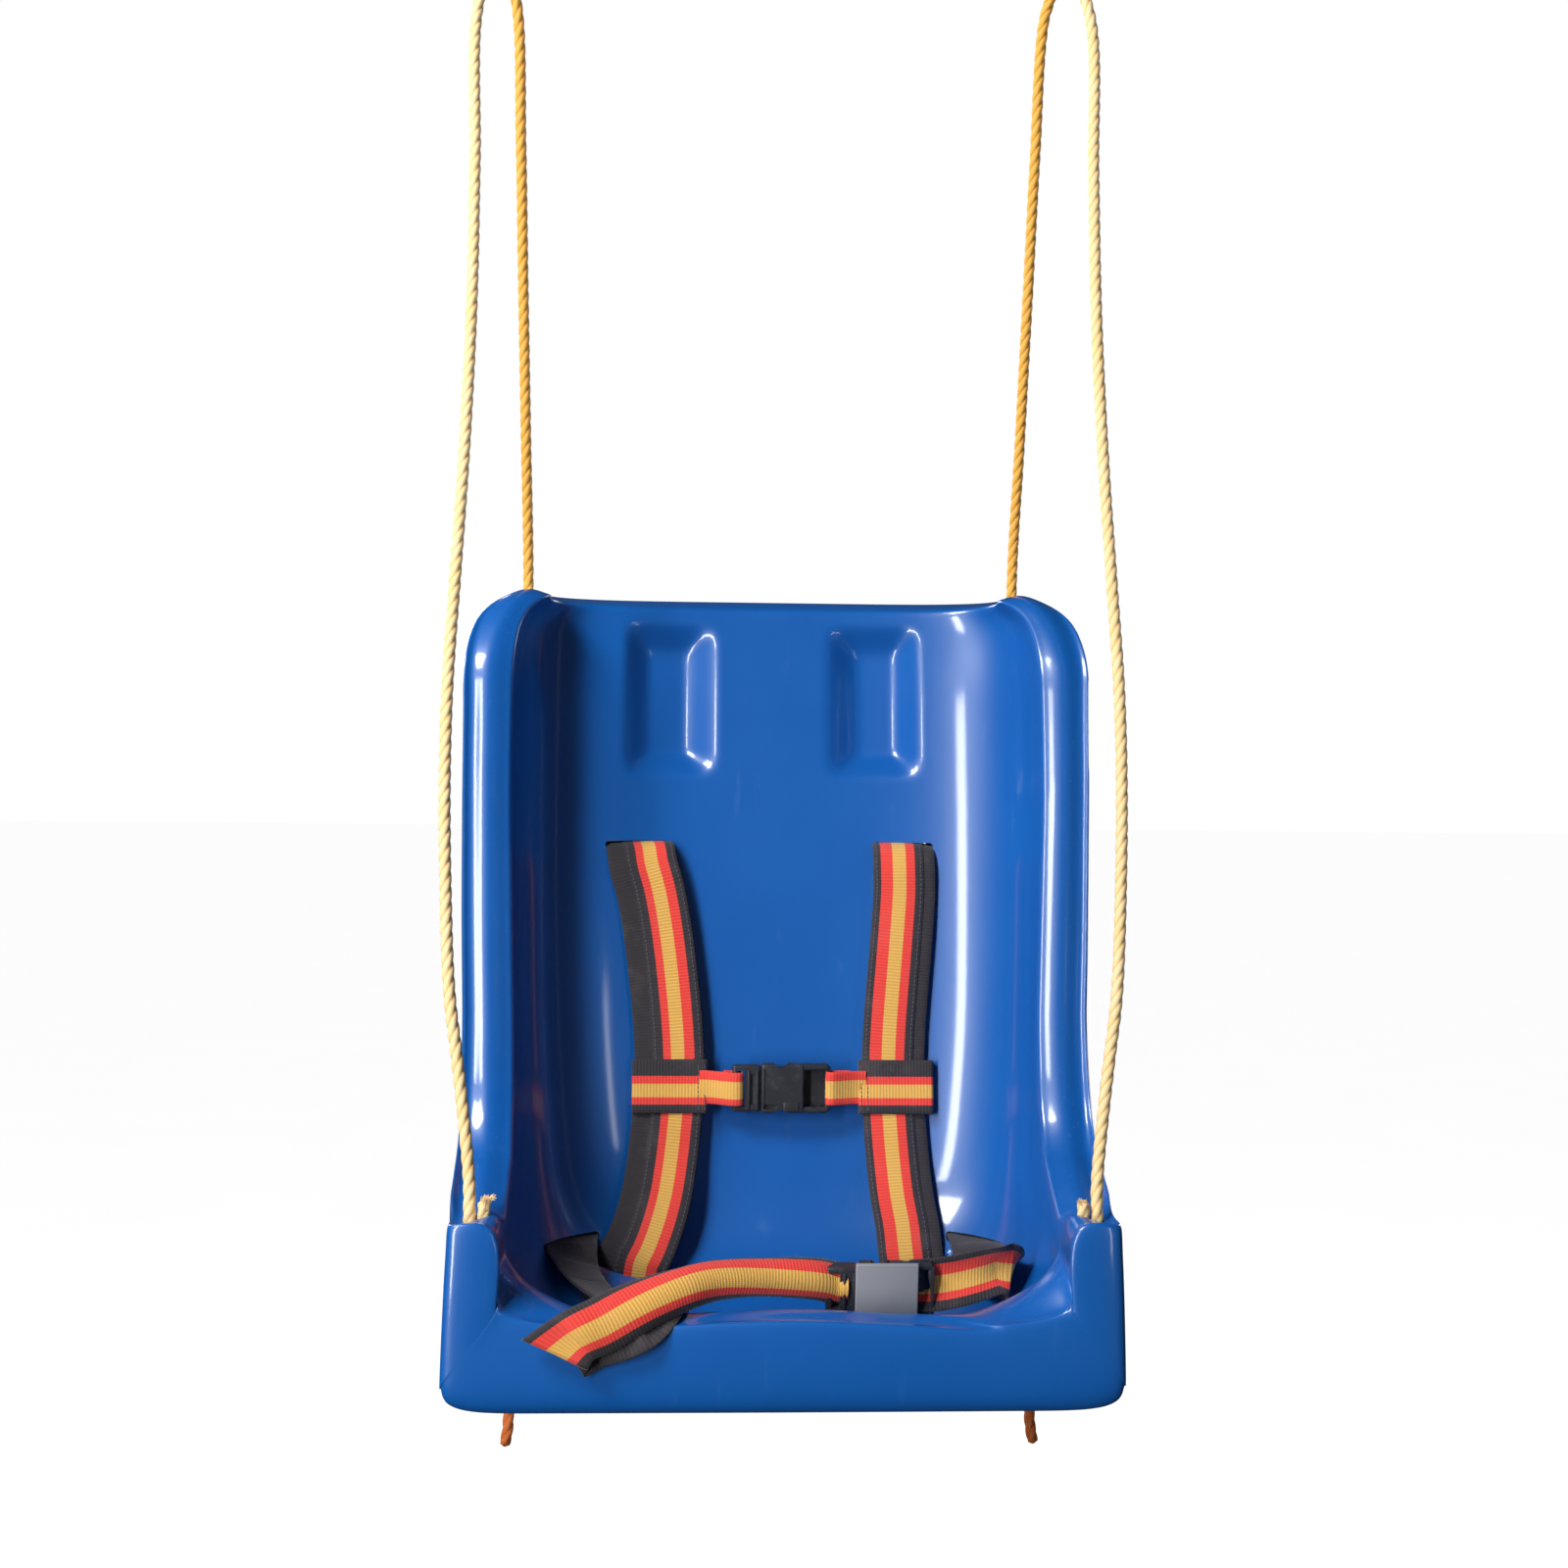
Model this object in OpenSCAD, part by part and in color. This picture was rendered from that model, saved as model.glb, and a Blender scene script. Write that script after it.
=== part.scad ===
// Moulded full-support swing seat on four ropes, with an H-harness and a lap belt.
// The seat is drawn upright in its own frame: x across, y from the front lip to the back, z up from its
// underside. Every part is then lowered, so that the origin is midway between the two hooks' hanger seats.

/* [Seat] */
// Width of the seat across its front corners
seat_w = 460; // [455:1:465]
// Height of the top of the back above the underside
seat_h = 565; // [560:1:570]
// Width of the back across its wings
wing_w = 472; // [468:1:476]
// Height of the two front posts
post_h = 123; // [120:1:126]
// Height of the middle of the front lip
lip_h = 62; // [58:1:64]

/* [Ropes] */
// Diameter of the rope
rope_d = 9; // [8:0.5:10]
// Height of the hooks' hanger seats above the seat's underside
hang_h = 1241.5; // [1240:0.5:1250]
// Distance between the two hooks
hook_gap = 424; // [420:1:428]

/* [Harness] */
// Width of the padded shoulder webbing
shoulder_w = 52; // [48:1:54]
// Width of the lap webbing
lap_w = 38; // [34:1:40]
// Height of the chest band and its buckle
chest_w = 40; // [38:1:42]
// Thickness of a plain webbing
web_t = 2.4; // [2:0.1:2.6]

/* [Moving parts] */
// Clearance between parts that move past each other
gap = 0.4; // [0.3:0.05:0.6]

/* [Hidden] */
$fn = 48;

shell_blue = "#1461BC";
rope_yellow = "#F6C45C";
steel_grey = "#B9BEC4";
webbing_dark = "#4B4752";
webbing_red = "#F0432F";
plastic_dark = "#2E2E33";
plastic_grey = "#8F9198";

hang_y = 222;         // the hooks hang this far behind the front face, over the seat's centre of mass
recline = 11.3;       // angle of the back from upright
half_w = seat_w / 2;
half_wing = wing_w / 2;
post_x = 207.5;       // middle of a front rope tunnel
post_y = 25;
tunnel_r = 9.8;       // two legs of rope pass through a front tunnel
rear_x = 197;         // middle of a rear rope tunnel
rear_tunnel_r = 6.5;
slot_x = 106;         // middle of a shoulder strap slot
lap_slot_x = 151;
swing_z = 1175.5;     // height of the swing axis above the underside
ring_r = 24;          // mean radius of a ring
bar_r = 4;            // radius of a ring's and a hook's bar
bow_r = 15;           // mean radius of a hook's bows
pin_r = 5;            // radius of a front pin
thimble_r = 10;       // inner radius of a thimble's crown
loop_r = thimble_r + 1.8 + rope_d / 2;
side = [-1, 1];

// Stations along the seat, from the top of the back, down it and along the floor to the front lip.
// Each holds the middle of the inner skin, the middle of the outer skin, the inner and outer rim, and the
// half widths of the inner and outer skins at the rim. Points are [y, z].
stations = [
    [[322, seat_h - 18], [363, seat_h - 18], [258, seat_h - 12], [268, seat_h - 12], 176, half_wing - 30],
    [[318, seat_h - 34], [360, seat_h - 34], [238, seat_h - 26], [242, seat_h - 26], 192, half_wing - 9],
    [[311, 496], [353, 496], [217, 508], [217, 508], 198, half_wing],
    [[299, 436], [341, 436], [203, 452], [203, 452], 199, half_wing],
    [[285, 366], [327, 366], [190, 382], [190, 382], 198, half_wing - 1],
    [[271, 296], [314, 296], [177, 312], [177, 312], 196, half_wing - 2],
    [[258, 226], [302, 226], [163, 244], [163, 244], 194, half_wing - 4],
    [[247, 166], [292, 160], [148, 194], [148, 194], 192, half_wing - 5],
    [[234, 110], [283, 96], [132, 166], [132, 166], 191, half_wing - 6],
    [[213, 71], [275, 44], [116, 150], [116, 150], 190, half_w],
    [[183, 46], [262, 10], [101, 141], [101, 141], 190, half_w],
    [[150, 37], [238, 0], [87, 133], [87, 133], 190, half_w],
    [[115, 34], [160, 0], [74, 127], [74, 127], 190, half_w],
    [[86, 34], [85, 0], [62, 122], [60, 122], 190, half_w - 1],
    [[64, 37], [30, 0], [53, post_h - 5], [40, post_h - 5], 190, half_w - 3],
    [[51, 44], [11, 0], [46, post_h - 5], [12, post_h - 5], 190, half_w - 5],
    [[44, 51], [0, 10], [42, post_h - 5], [0, post_h - 5], 190, half_w - 8],
    [[41, lip_h - 5], [0, lip_h - 5], [39, post_h - 5], [0, post_h - 5], 190, 194]];
// Sweep angles across one half of the seat, from the middle to the rim
sweep = [0, 2, 7, 14, 23, 33, 44, 55, 66, 76, 84, 90];
inner_power = 3;      // how square the seat's hollow is across
outer_power = 8;      // how square its outside is across
front_power = 16;     // and how square across its front
crest = 5.5;          // height of the rim's crown
recess_depth = 14;

// Routes of the ropes in the seat's frame, for a left rope, from its free end to its thimble
front_route = [[-202.7, post_y, 139], [-202.7, post_y, 84], [-202.7, post_y, 34], [-198.6, post_y, 27],
    [-197.3, post_y, 20], [-200.3, post_y, 14.2], [-207.5, post_y, 11.6], [-214.7, post_y, 14.2],
    [-217.7, post_y, 20], [-216.4, post_y, 27], [-212.3, post_y, 34], [-212.3, post_y, 118], [-213, 30, 150],
    [-217, 36.5, 186], [-223, 44.6, 230], [-229.5, 52.8, 275], [-234.3, 67, 352], [-236.5, 80, 423],
    [-236.2, 91.6, 487], [-232.9, 105, 560], [-228.8, 121.4, 650], [-226, 141.6, 760], [-226.3, 161.7, 870],
    [-227, 182.8, 985]];
rear_route = [[-192, 201, -101], [-198, 206, -70], [-199, 218, -40], [-rear_x, 225, -12],
    [-rear_x, 252.5, 125], [-rear_x, 290, 313], [-rear_x, 340.4, 565], [-198.5, 317, 690],
    [-200, 296.4, 800], [-201.3, 275.8, 910], [-203.8, 257, 1010]];

// Routes of the webbing, left side first, as [x, y, z] of its middle
shoulder_route_left = [[-slot_x, 344, 366], [-slot_x, 292, 366], [-105, 282, 366.5], [-103, 273, 362],
    [-101, 268, 351], [-95, 264, 330], [-88, 257, 292], [-80, 243.5, 220], [-79, 236.5, 182], [-81, 231, 156],
    [-84, 223, 128], [-88, 209, 104], [-94, 194, 84], [-100, 184, 70], [-slot_x, 179, 58], [-slot_x, 179, -12]];
shoulder_route_right = [[slot_x, 344, 366], [slot_x, 292, 366], [106, 282, 367], [106, 272.5, 363.2],
    [106, 266, 351], [106, 262, 330], [103, 254, 292], [97, 242, 220], [96, 235, 182], [97, 229.5, 156],
    [99, 221.5, 128], [101, 208, 104], [104, 194, 84], [105, 184, 70], [slot_x, 179, 58], [slot_x, 179, -12]];

// ---- helpers ----

function unit(v) = v / norm(v);
function flip(p) = [-p[0], p[1], p[2]];
function last(list) = list[len(list) - 1];
// Direction of a route at one of its points
function heading(path, i) = unit(path[min(i + 1, len(path) - 1)] - path[max(i - 1, 0)]);
// The part of a vector that is square to a direction
function square_to(v, dir) = unit(v - (v * dir) * dir);

module place() {
    translate([0, -hang_y, -hang_h]) children();
}

// Faces of a closed skin over rings of n points each
function ring_faces(rings, n) = concat(
    [[for (k = [n - 1 : -1 : 0]) k]],
    [for (i = [0 : rings - 2]) for (k = [0 : n - 1]) each [
        [i * n + k, i * n + (k + 1) % n, (i + 1) * n + k],
        [i * n + (k + 1) % n, (i + 1) * n + (k + 1) % n, (i + 1) * n + k]]],
    [[for (k = [0 : n - 1]) (rings - 1) * n + k]]);

// A rope or cord along a route
module tube(path, d, n = 8) {
    // a fixed guide direction keeps the rings from turning on each other
    guide = [0.2, 1, 0.1];
    rings = [for (i = [0 : len(path) - 1])
        let (t = heading(path, i), a = square_to(guide, t), b = cross(t, a))
        [for (k = [0 : n - 1]) path[i] + d / 2 * (cos(360 * k / n) * a + sin(360 * k / n) * b)]];
    polyhedron([for (r = rings) each r], ring_faces(len(path), n), convexity = 8);
}

// A flat webbing along a route; across gives the direction of its width at each point
module ribbon(path, across, w, t) {
    rings = [for (i = [0 : len(path) - 1])
        let (h = heading(path, i), a = square_to(across[i], h), b = cross(h, a))
        [path[i] - a * w / 2 - b * t / 2, path[i] + a * w / 2 - b * t / 2,
         path[i] + a * w / 2 + b * t / 2, path[i] - a * w / 2 + b * t / 2]];
    polyhedron([for (r = rings) each r], ring_faces(len(path), 4), convexity = 8);
}

module bar(from, to, r) {
    d = to - from;
    translate(from) rotate([0, acos(d[2] / norm(d)), atan2(d[1], d[0])]) cylinder(h = norm(d), r = r);
}

// ---- seat shell ----

// A point of a skin: middle c and rim r are [y, z], half is its half width, angle runs from 0 to 90
function skin_point(c, r, half, power, angle) =
    let (x = half * pow(sin(angle), 2 / power), g = 1 - pow(cos(angle), 2 / power))
    [x, c[0] + (r[0] - c[0]) * g, c[1] + (r[1] - c[1]) * g];
// The front lip dips either side of its middle
function lip_dip(x, share) = -11 * share * (abs(x) > 112 ? 1 : (1 - cos(180 * x / 112)) / 2)
    * pow(max(0, 1 - pow(abs(x) / 190, 4)), 2);
// How much of the dip each station takes, from none on the floor to all on the lip
function dip_share(i) = max(0, (i - 14) / (len(stations) - 15));
function signed_sweep() = concat([for (k = [len(sweep) - 1 : -1 : 1]) -sweep[k]], sweep);
function skin_row(i, outer) =
    let (s = stations[i])
    [for (a = signed_sweep())
        let (p = skin_point(s[outer ? 1 : 0], s[outer ? 3 : 2], s[outer ? 5 : 4],
                            outer ? (i > 11 ? front_power : outer_power) : inner_power, abs(a)))
        [sign(a) * p[0], p[1], p[2] + (outer && i < len(stations) - 1 ? 0 : lip_dip(p[0], dip_share(i)))]];

// The two skins meet in a crowned rim: two more rows of points all the way round
function crest_dir(i, k, n, rows) =
    let (s = stations[i], wing = unit([0, s[2][0] - s[0][0], s[2][1] - s[0][1]]))
    i == 0 ? (k == 0 || k == n - 1 ? unit([sign(k - 1) * 0.5, wing[1], 0.8]) : [0, 0.2, 0.98])
        : i == rows - 1 ? [0, 0, 1] : (i > rows - 5 ? [0, 0, 1] : wing);
function crest_point(inner, outer, dir, share) = inner + (outer - inner) * share + dir * crest;

module shell_body() {
    rows = len(stations);
    inner = [for (i = [0 : rows - 1]) skin_row(i, false)];
    outer = [for (i = [0 : rows - 1]) skin_row(i, true)];
    n = len(inner[0]);
    // the rim runs round the edge of the grid
    edge = concat([for (k = [0 : n - 1]) [0, k]], [for (i = [1 : rows - 1]) [i, n - 1]],
        [for (k = [n - 2 : -1 : 0]) [rows - 1, k]], [for (i = [rows - 2 : -1 : 1]) [i, 0]]);
    m = len(edge);
    crest_rows = [for (share = [0.22, 0.78]) [for (e = edge)
        crest_point(inner[e[0]][e[1]], outer[e[0]][e[1]], crest_dir(e[0], e[1], n, rows), share)]];
    points = concat([for (r = inner) each r], [for (r = outer) each r], crest_rows[0], crest_rows[1]);
    outer_at = rows * n;
    crest_at = 2 * rows * n;
    edge_id = [for (e = edge) e[0] * n + e[1]];
    loops = [edge_id, [for (j = [0 : m - 1]) crest_at + j], [for (j = [0 : m - 1]) crest_at + m + j],
        [for (e = edge_id) outer_at + e]];
    faces = concat(
        [for (i = [0 : rows - 2]) for (k = [0 : n - 2]) let (a = i * n + k) each [
            [a, a + 1, a + n + 1], [a, a + n + 1, a + n],
            [outer_at + a, outer_at + a + n + 1, outer_at + a + 1], [outer_at + a, outer_at + a + n, outer_at + a + n + 1]]],
        [for (l = [0 : 2]) for (j = [0 : m - 1]) let (q = (j + 1) % m) each [
            [loops[l][j], loops[l + 1][j], loops[l + 1][q]], [loops[l][j], loops[l + 1][q], loops[l][q]]]]);
    polyhedron(points, faces, convexity = 10);
}

// A tapered recess that ties the two skins of the back together
module recess(x) {
    translate([x, 311.5, 478]) rotate([-recline, 0, 0]) hull() {
        translate([0, -recess_depth, 0]) cube([134, 0.1, 168], center = true);
        translate([0, recess_depth, 0]) cube([30, 0.1, 72], center = true);
    }
}

module seat_shell() {
    color(shell_blue) place() difference() {
        shell_body();
        for (s = side) {
            // front tunnel, the pocket below it and the seat for its pin
            translate([s * post_x, post_y, 20]) cylinder(h = 140, r = tunnel_r);
            translate([s * post_x - 16, post_y - 9, -20]) cube([32, 18, 56]);
            translate([s * post_x, post_y - 19, 22]) rotate([-90, 0, 0]) cylinder(h = 38, r = pin_r + 0.05);
            // rear tunnel, square to the recline
            translate([s * rear_x, 340.4 - 0.2 * 605, -40]) rotate([-recline, 0, 0])
                cylinder(h = 680, r = rear_tunnel_r);
            // strap slots through the back and the floor
            translate([s * slot_x - 29, 240, 361]) cube([58, 130, 10]);
            translate([s * slot_x - 29, 174, -10]) cube([58, 10, 90]);
            translate([s * lap_slot_x - 22, 150, 70]) cube([44, 170, 10]);
            recess(s * 82);
        }
    }
}

// ---- rope anchors ----

module front_pin(s) {
    color(steel_grey) place() translate([s * post_x, post_y - 18, 22]) rotate([-90, 0, 0])
        cylinder(h = 36, r = pin_r);
}

module rear_washer(s) {
    color(steel_grey) place() translate([s * rear_x, 226.5, -3.4]) difference() {
        cylinder(h = 3, r = 18);
        translate([0, 0, -1]) cylinder(h = 5, r = 6);
    }
}

// A stopper knot under the washer: a fat turn of rope round the tail
module rear_knot(s) {
    color(rope_yellow) place() translate([s * 197.6, 223, -15]) rotate([-14, 0, 0]) rotate_extrude()
        translate([10.2, 0]) scale([1, 1.6]) circle(r = 5, $fn = 20);
}

// ---- ropes ----

// Middle of a thimble's crown, and the direction from the seat up to it
function thimble_tilt(rear) = rear ? 10.6 : -10.4;
function rope_up(rear) = [0, -sin(thimble_tilt(rear)), cos(thimble_tilt(rear))];
function ring_centre() = [-hook_gap / 2, hang_y, swing_z + bar_r + gap + bar_r - ring_r];
// The thimbles sit side by side on the ring, and touch its bar at their edges
function thimble_at(rear) = ring_centre() + ring_r * [0, (rear ? 1 : -1) * sin(26), -cos(26)]
    - (thimble_r - bar_r - gap - 2) * rope_up(rear);
// The rope's eye round its thimble, from the standing part round the crown to the throat
function eye_turn(rear) = [for (p = concat([[0, -96], [2.5, -74], [4.9, -56], [9, -34], [14.5, -12]],
        [for (a = [0 : 22.5 : 180]) loop_r * [cos(a), sin(a)]], [[-14.5, -12], [-9, -34], [-4.9, -54]]))
    thimble_at(rear) + p[0] * [1, 0, 0] + p[1] * rope_up(rear)];

module front_rope(s) {
    path = concat(front_route, eye_turn(false));
    color(rope_yellow) place() tube(s < 0 ? path : [for (p = path) flip(p)], rope_d);
}

module rear_rope(s) {
    path = concat(rear_route, eye_turn(true));
    color(rope_yellow) place() tube(s < 0 ? path : [for (p = path) flip(p)], rope_d);
}

// A thimble: a grooved teardrop, cut from its outline
module thimble(s, rear) {
    at = thimble_at(rear);
    groove = loop_r;
    color(steel_grey) place() translate([s * abs(at[0]), at[1], at[2]]) rotate([thimble_tilt(rear), 0, 0])
        difference() {
            union() {
                rotate([90, 0, 0]) rotate_extrude(angle = 180) difference() {
                    translate([thimble_r, -5.4]) square([4.2, 10.8]);
                    translate([groove, 0]) circle(r = rope_d / 2 + gap);
                }
                for (k = side) mirror([k > 0 ? 1 : 0, 0, 0])
                    rotate([0, 14, 0]) translate([thimble_r, -4.5, -33]) cube([1.4, 9, 34]);
            }
            translate([-30, -10, -60]) cube([60, 20, 28]);
        }
}

module ring(s) {
    c = ring_centre();
    color(steel_grey) place() translate([s * abs(c[0]), c[1], c[2]]) rotate([0, 90, 0])
        rotate_extrude() translate([ring_r, 0]) circle(r = bar_r, $fn = 24);
}

// ---- hooks ----

// Each hook lies in the plane of the two ropes; its gate is on the outside
hook_leg = 40;
gate_x = bow_r;
pivot_z = 4;          // height of the gate's pin above the lower bow's centre

module on_hook(s) {
    place() translate([s * hook_gap / 2, hang_y, swing_z + bow_r]) mirror([s < 0 ? 1 : 0, 0, 0]) children();
}

// The straight bars are a touch thinner than the bows, and run 1 mm into them
leg_r = bar_r - 0.15;

module hook(s) {
    color(steel_grey) on_hook(s) difference() {
        union() {
            rotate([-90, 0, 0]) rotate_extrude(angle = 180) translate([bow_r, 0]) circle(r = bar_r, $fn = 24);
            translate([0, 0, hook_leg]) rotate([90, 0, 0]) rotate_extrude(angle = 180)
                translate([bow_r, 0]) circle(r = bar_r, $fn = 24);
            translate([-bow_r, 0, -1]) cylinder(h = hook_leg + 2, r = leg_r, $fn = 24);
            // the boss that carries the gate, and the nose that it closes on
            translate([gate_x, 1.5, pivot_z]) rotate([90, 0, 0]) cylinder(h = 3, r = 3.9);
            translate([gate_x - 3.5, -1.5, -2]) cube([7, 3, 6]);
            translate([gate_x, 0, hook_leg - 2]) cylinder(h = 3, r = leg_r, $fn = 24);
        }
        translate([gate_x, 5, pivot_z]) rotate([90, 0, 0]) cylinder(h = 10, r = 1.5);
    }
}

module hook_gate(s) {
    color(steel_grey) on_hook(s) difference() {
        union() {
            translate([gate_x, 0, 8]) cylinder(h = hook_leg - 2.5 - 8, r = 3.4, $fn = 24);
            for (y = [-3.9, 1.9]) translate([gate_x - 3.4, y, pivot_z]) cube([6.8, 2, 8]);
            for (y = [-1.9, 3.9]) translate([gate_x, y, pivot_z]) rotate([90, 0, 0]) cylinder(h = 2, r = 3.4);
        }
        translate([gate_x - 5, -1.9, -3]) cube([10, 3.8, 11.6]);
        translate([gate_x, 6, pivot_z]) rotate([90, 0, 0]) cylinder(h = 12, r = 1.6);
    }
}

module gate_pin(s) {
    color(steel_grey) on_hook(s) translate([gate_x, 4.6, pivot_z]) rotate([90, 0, 0]) cylinder(h = 9.2, r = 1.5);
}

// ---- harness ----

module shoulder_strap(path) {
    color(webbing_dark) place() ribbon(path, [for (p = path) [1, 0, 0]], shoulder_w, web_t + 0.6);
}

// A three-bar slide, in the plane of x and y
module slide(w, slot_gap = 4) {
    difference() {
        translate([-w / 2 - 5, -11, 0]) cube([w + 10, 22, 2.6]);
        for (y = [-slot_gap - 3, 3]) translate([-w / 2 - 1, y, -1]) cube([w + 2, slot_gap, 5]);
    }
}

module upper_slide(s) {
    color(plastic_dark) place() translate([s * slot_x, 329.2, 361]) rotate([-90, 0, 0]) slide(shoulder_w);
}

module lower_slide(s) {
    color(plastic_dark) place() translate([s * slot_x, 174, -3.2]) slide(shoulder_w);
}

module lap_slide(s) {
    color(plastic_dark) place() translate([s * lap_slot_x, 281.5, 70]) rotate([-90, 0, 0]) slide(lap_w);
}

chest_z = 182;        // middle of the chest strap
chest_y = 233;
band_x = [[-108.5, -50], [66.5, 125]];
band_y = [236.2, 234.8];
band_d = 7.4;

// A sleeve of webbing round the shoulder strap, leaning back with it
module chest_band(i) {
    span = band_x[i];
    w = span[1] - span[0];
    color(webbing_dark) place() translate([(span[0] + span[1]) / 2, band_y[i], chest_z]) rotate([-recline, 0, 0])
        difference() {
            translate([-w / 2, -band_d / 2, -chest_w / 2]) cube([w, band_d, chest_w]);
            translate([-w / 2 + 1.4, -band_d / 2 + 1.2, -chest_w]) cube([w - 2.8, band_d - 2.4, 2 * chest_w]);
        }
}

module chest_webbing(x0, x1) {
    color(webbing_red) place() translate([x0, chest_y - web_t / 2, chest_z - 12.5]) cube([x1 - x0, web_t, 25]);
}

// ---- side-release buckles, drawn in a frame with x along the strap and z across it, y through it ----

// The insert slides into the receiver along +x; x = 0 is the mouth of the receiver
buckle_l = 38;        // length of the receiver
buckle_t = 12;        // its thickness
arm_len = 24;
arm_y = 4;            // thickness of an arm

module buckle_receiver(h) {
    difference() {
        translate([0, -buckle_t / 2, -h / 2]) cube([buckle_l, buckle_t, h]);
        // the mouth, open at the sides where the arms are pressed
        translate([-1, -arm_y / 2 - 1, -h / 2 + 3]) cube([arm_len + 8, arm_y + 2, h - 6]);
        translate([9, -arm_y / 2 - 1, -h / 2 - 1]) cube([13, arm_y + 2, h + 2]);
        // the webbing's slot
        translate([buckle_l - 7, -buckle_t, -h / 2 + 4]) cube([4, 2 * buckle_t, h - 8]);
    }
}

module buckle_insert(h) {
    difference() {
        union() {
            translate([-22, -buckle_t / 2 + 1, -h / 2]) cube([21.6, buckle_t - 2, h]);
            translate([-2, -arm_y / 2, -5]) cube([arm_len + 1, arm_y, 10]);
        }
        for (x = [-20, -13]) translate([x, -buckle_t, -h / 2 + 4]) cube([4, 2 * buckle_t, h - 8]);
        for (z = side) translate([-6, -arm_y / 2 - 0.5, z * (h / 2 - 8) - 4.4]) cube([8, arm_y + 1, 8.8]);
    }
}

// One sprung arm of the insert; k is 1 above and -1 below
module buckle_arm(h, k) {
    z = k * (h / 2 - 8);
    translate([-5.5, -arm_y / 2, z - 2]) cube([arm_len, arm_y, 4]);
    translate([arm_len - 15, -arm_y / 2, k > 0 ? z + 1.5 : z - 4.8]) cube([9, arm_y, 3.3]);
}

chest_mouth = -9;     // x of the chest receiver's mouth
lap_mouth = 52;       // x of the lap receiver's mouth
lap_y = 58;
lap_z = 67;

module on_chest() {
    place() translate([chest_mouth, chest_y - 3, chest_z]) children();
}

module on_lap() {
    place() translate([lap_mouth, lap_y, lap_z]) rotate([8, 0, 0]) children();
}

module chest_receiver() {
    color(plastic_dark) on_chest() buckle_receiver(chest_w);
}

module chest_insert() {
    color(plastic_dark) on_chest() buckle_insert(chest_w);
}

module chest_arm(k) {
    color(plastic_dark) on_chest() buckle_arm(chest_w, k);
}

module lap_receiver() {
    color(plastic_grey) on_lap() buckle_receiver(lap_w + 8);
}

module lap_insert() {
    color(plastic_dark) on_lap() buckle_insert(lap_w + 2);
}

module lap_arm(k) {
    color(plastic_dark) on_lap() buckle_arm(lap_w + 2, k);
}

lap_front_left = [[-160, -13, 45], [-142, -12, 54.5], [-120, -7.5, 65], [-97, 2.5, 73.5], [-73, 18, 80],
    [-50, 33, 83], [-10, 49, 80], [14, 55.5, 75], [27, 57.5, 74]];
lap_front_across = [[-0.42, 0, 0.9], [-0.42, 0.02, 0.9], [-0.38, 0.12, 0.9], [-0.3, 0.3, 0.9], [-0.2, 0.4, 0.88],
    [-0.1, 0.35, 0.93], [0, 0.15, 1], [0, 0.05, 1], [0, 0, 1]];
lap_rear_left = [[-lap_slot_x, 300, 75], [-lap_slot_x, 200, 75], [-lap_slot_x, 170, 75], [-146, 142, 68],
    [-133, 115, 58.5], [-115, 92, 52], [-97, 73, 50], [-86, 57, 53], [-83, 45, 58.5], [-84, 34, 62.5],
    [-86, 22, 63.8], [-91, 11, 63], [-99, 1, 58.5], [-112, -4, 52], [-128, -5, 47], [-144, -5.5, 42]];
lap_rear_across = [[1, 0, 0], [1, 0, 0], [1, 0, -0.05], [1, 0.1, -0.38], [0.95, 0.15, -0.4], [0.95, 0.25, -0.3],
    [0.97, 0.2, -0.15], [1, 0.08, 0], [1, 0, 0.05], [1, 0, 0.05], [0.95, 0.1, 0.1], [0.8, -0.3, -0.2],
    [0.6, -0.3, -0.6], [0.5, -0.1, -0.8], [0.45, 0, -0.9], [0.42, 0, -0.9]];
lap_route_right = [[93, 56.5, 69], [118, 57, 73.5], [142, 58.5, 79], [156, 62, 81.5], [163, 70, 82], [161.5, 80, 78.5],
    [157, 97, 72.5], [152.5, 120, 70.5], [150.5, 146, 73], [lap_slot_x, 172, 75], [lap_slot_x, 300, 75]];
lap_across_right = [[0, -0.1, 1], [0, 0, 1], [0, 0, 1], [0, 0, 1], [0, 0, 1], [0.35, 0.1, 0.9], [0.8, 0.1, 0.6],
    [0.9, 0, 0.42], [0.93, 0, 0.33], [1, 0, 0.04], [1, 0, 0]];

// The left lap strap folds over the lip: its front layer, and the tail that runs back to its slot
module lap_strap_left() {
    color(webbing_red) place() ribbon(lap_front_left, lap_front_across, lap_w, web_t);
}

module lap_tail_left() {
    color(webbing_red) place() ribbon(lap_rear_left, lap_rear_across, lap_w, web_t);
}

module lap_strap_right() {
    color(webbing_red) place() ribbon(lap_route_right, lap_across_right, lap_w, web_t);
}

seat_shell();
front_pin(-1);  // front_pin_left
front_pin(1);  // front_pin_right
rear_washer(-1);  // rear_washer_left
rear_washer(1);  // rear_washer_right
rear_knot(-1);  // rear_knot_left
rear_knot(1);  // rear_knot_right
front_rope(-1);  // front_rope_left
front_rope(1);  // front_rope_right
rear_rope(-1);  // rear_rope_left
rear_rope(1);  // rear_rope_right
thimble(-1, false);  // front_thimble_left
thimble(1, false);  // front_thimble_right
thimble(-1, true);  // rear_thimble_left
thimble(1, true);  // rear_thimble_right
ring(-1);  // ring_left
ring(1);  // ring_right
hook(-1);  // hook_left
hook(1);  // hook_right
hook_gate(-1);  // hook_gate_left
hook_gate(1);  // hook_gate_right
gate_pin(-1);  // gate_pin_left
gate_pin(1);  // gate_pin_right
shoulder_strap(shoulder_route_left);  // shoulder_strap_left
shoulder_strap(shoulder_route_right);  // shoulder_strap_right
upper_slide(-1);  // upper_slide_left
upper_slide(1);  // upper_slide_right
lower_slide(-1);  // lower_slide_left
lower_slide(1);  // lower_slide_right
chest_band(0);  // chest_band_left
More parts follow.
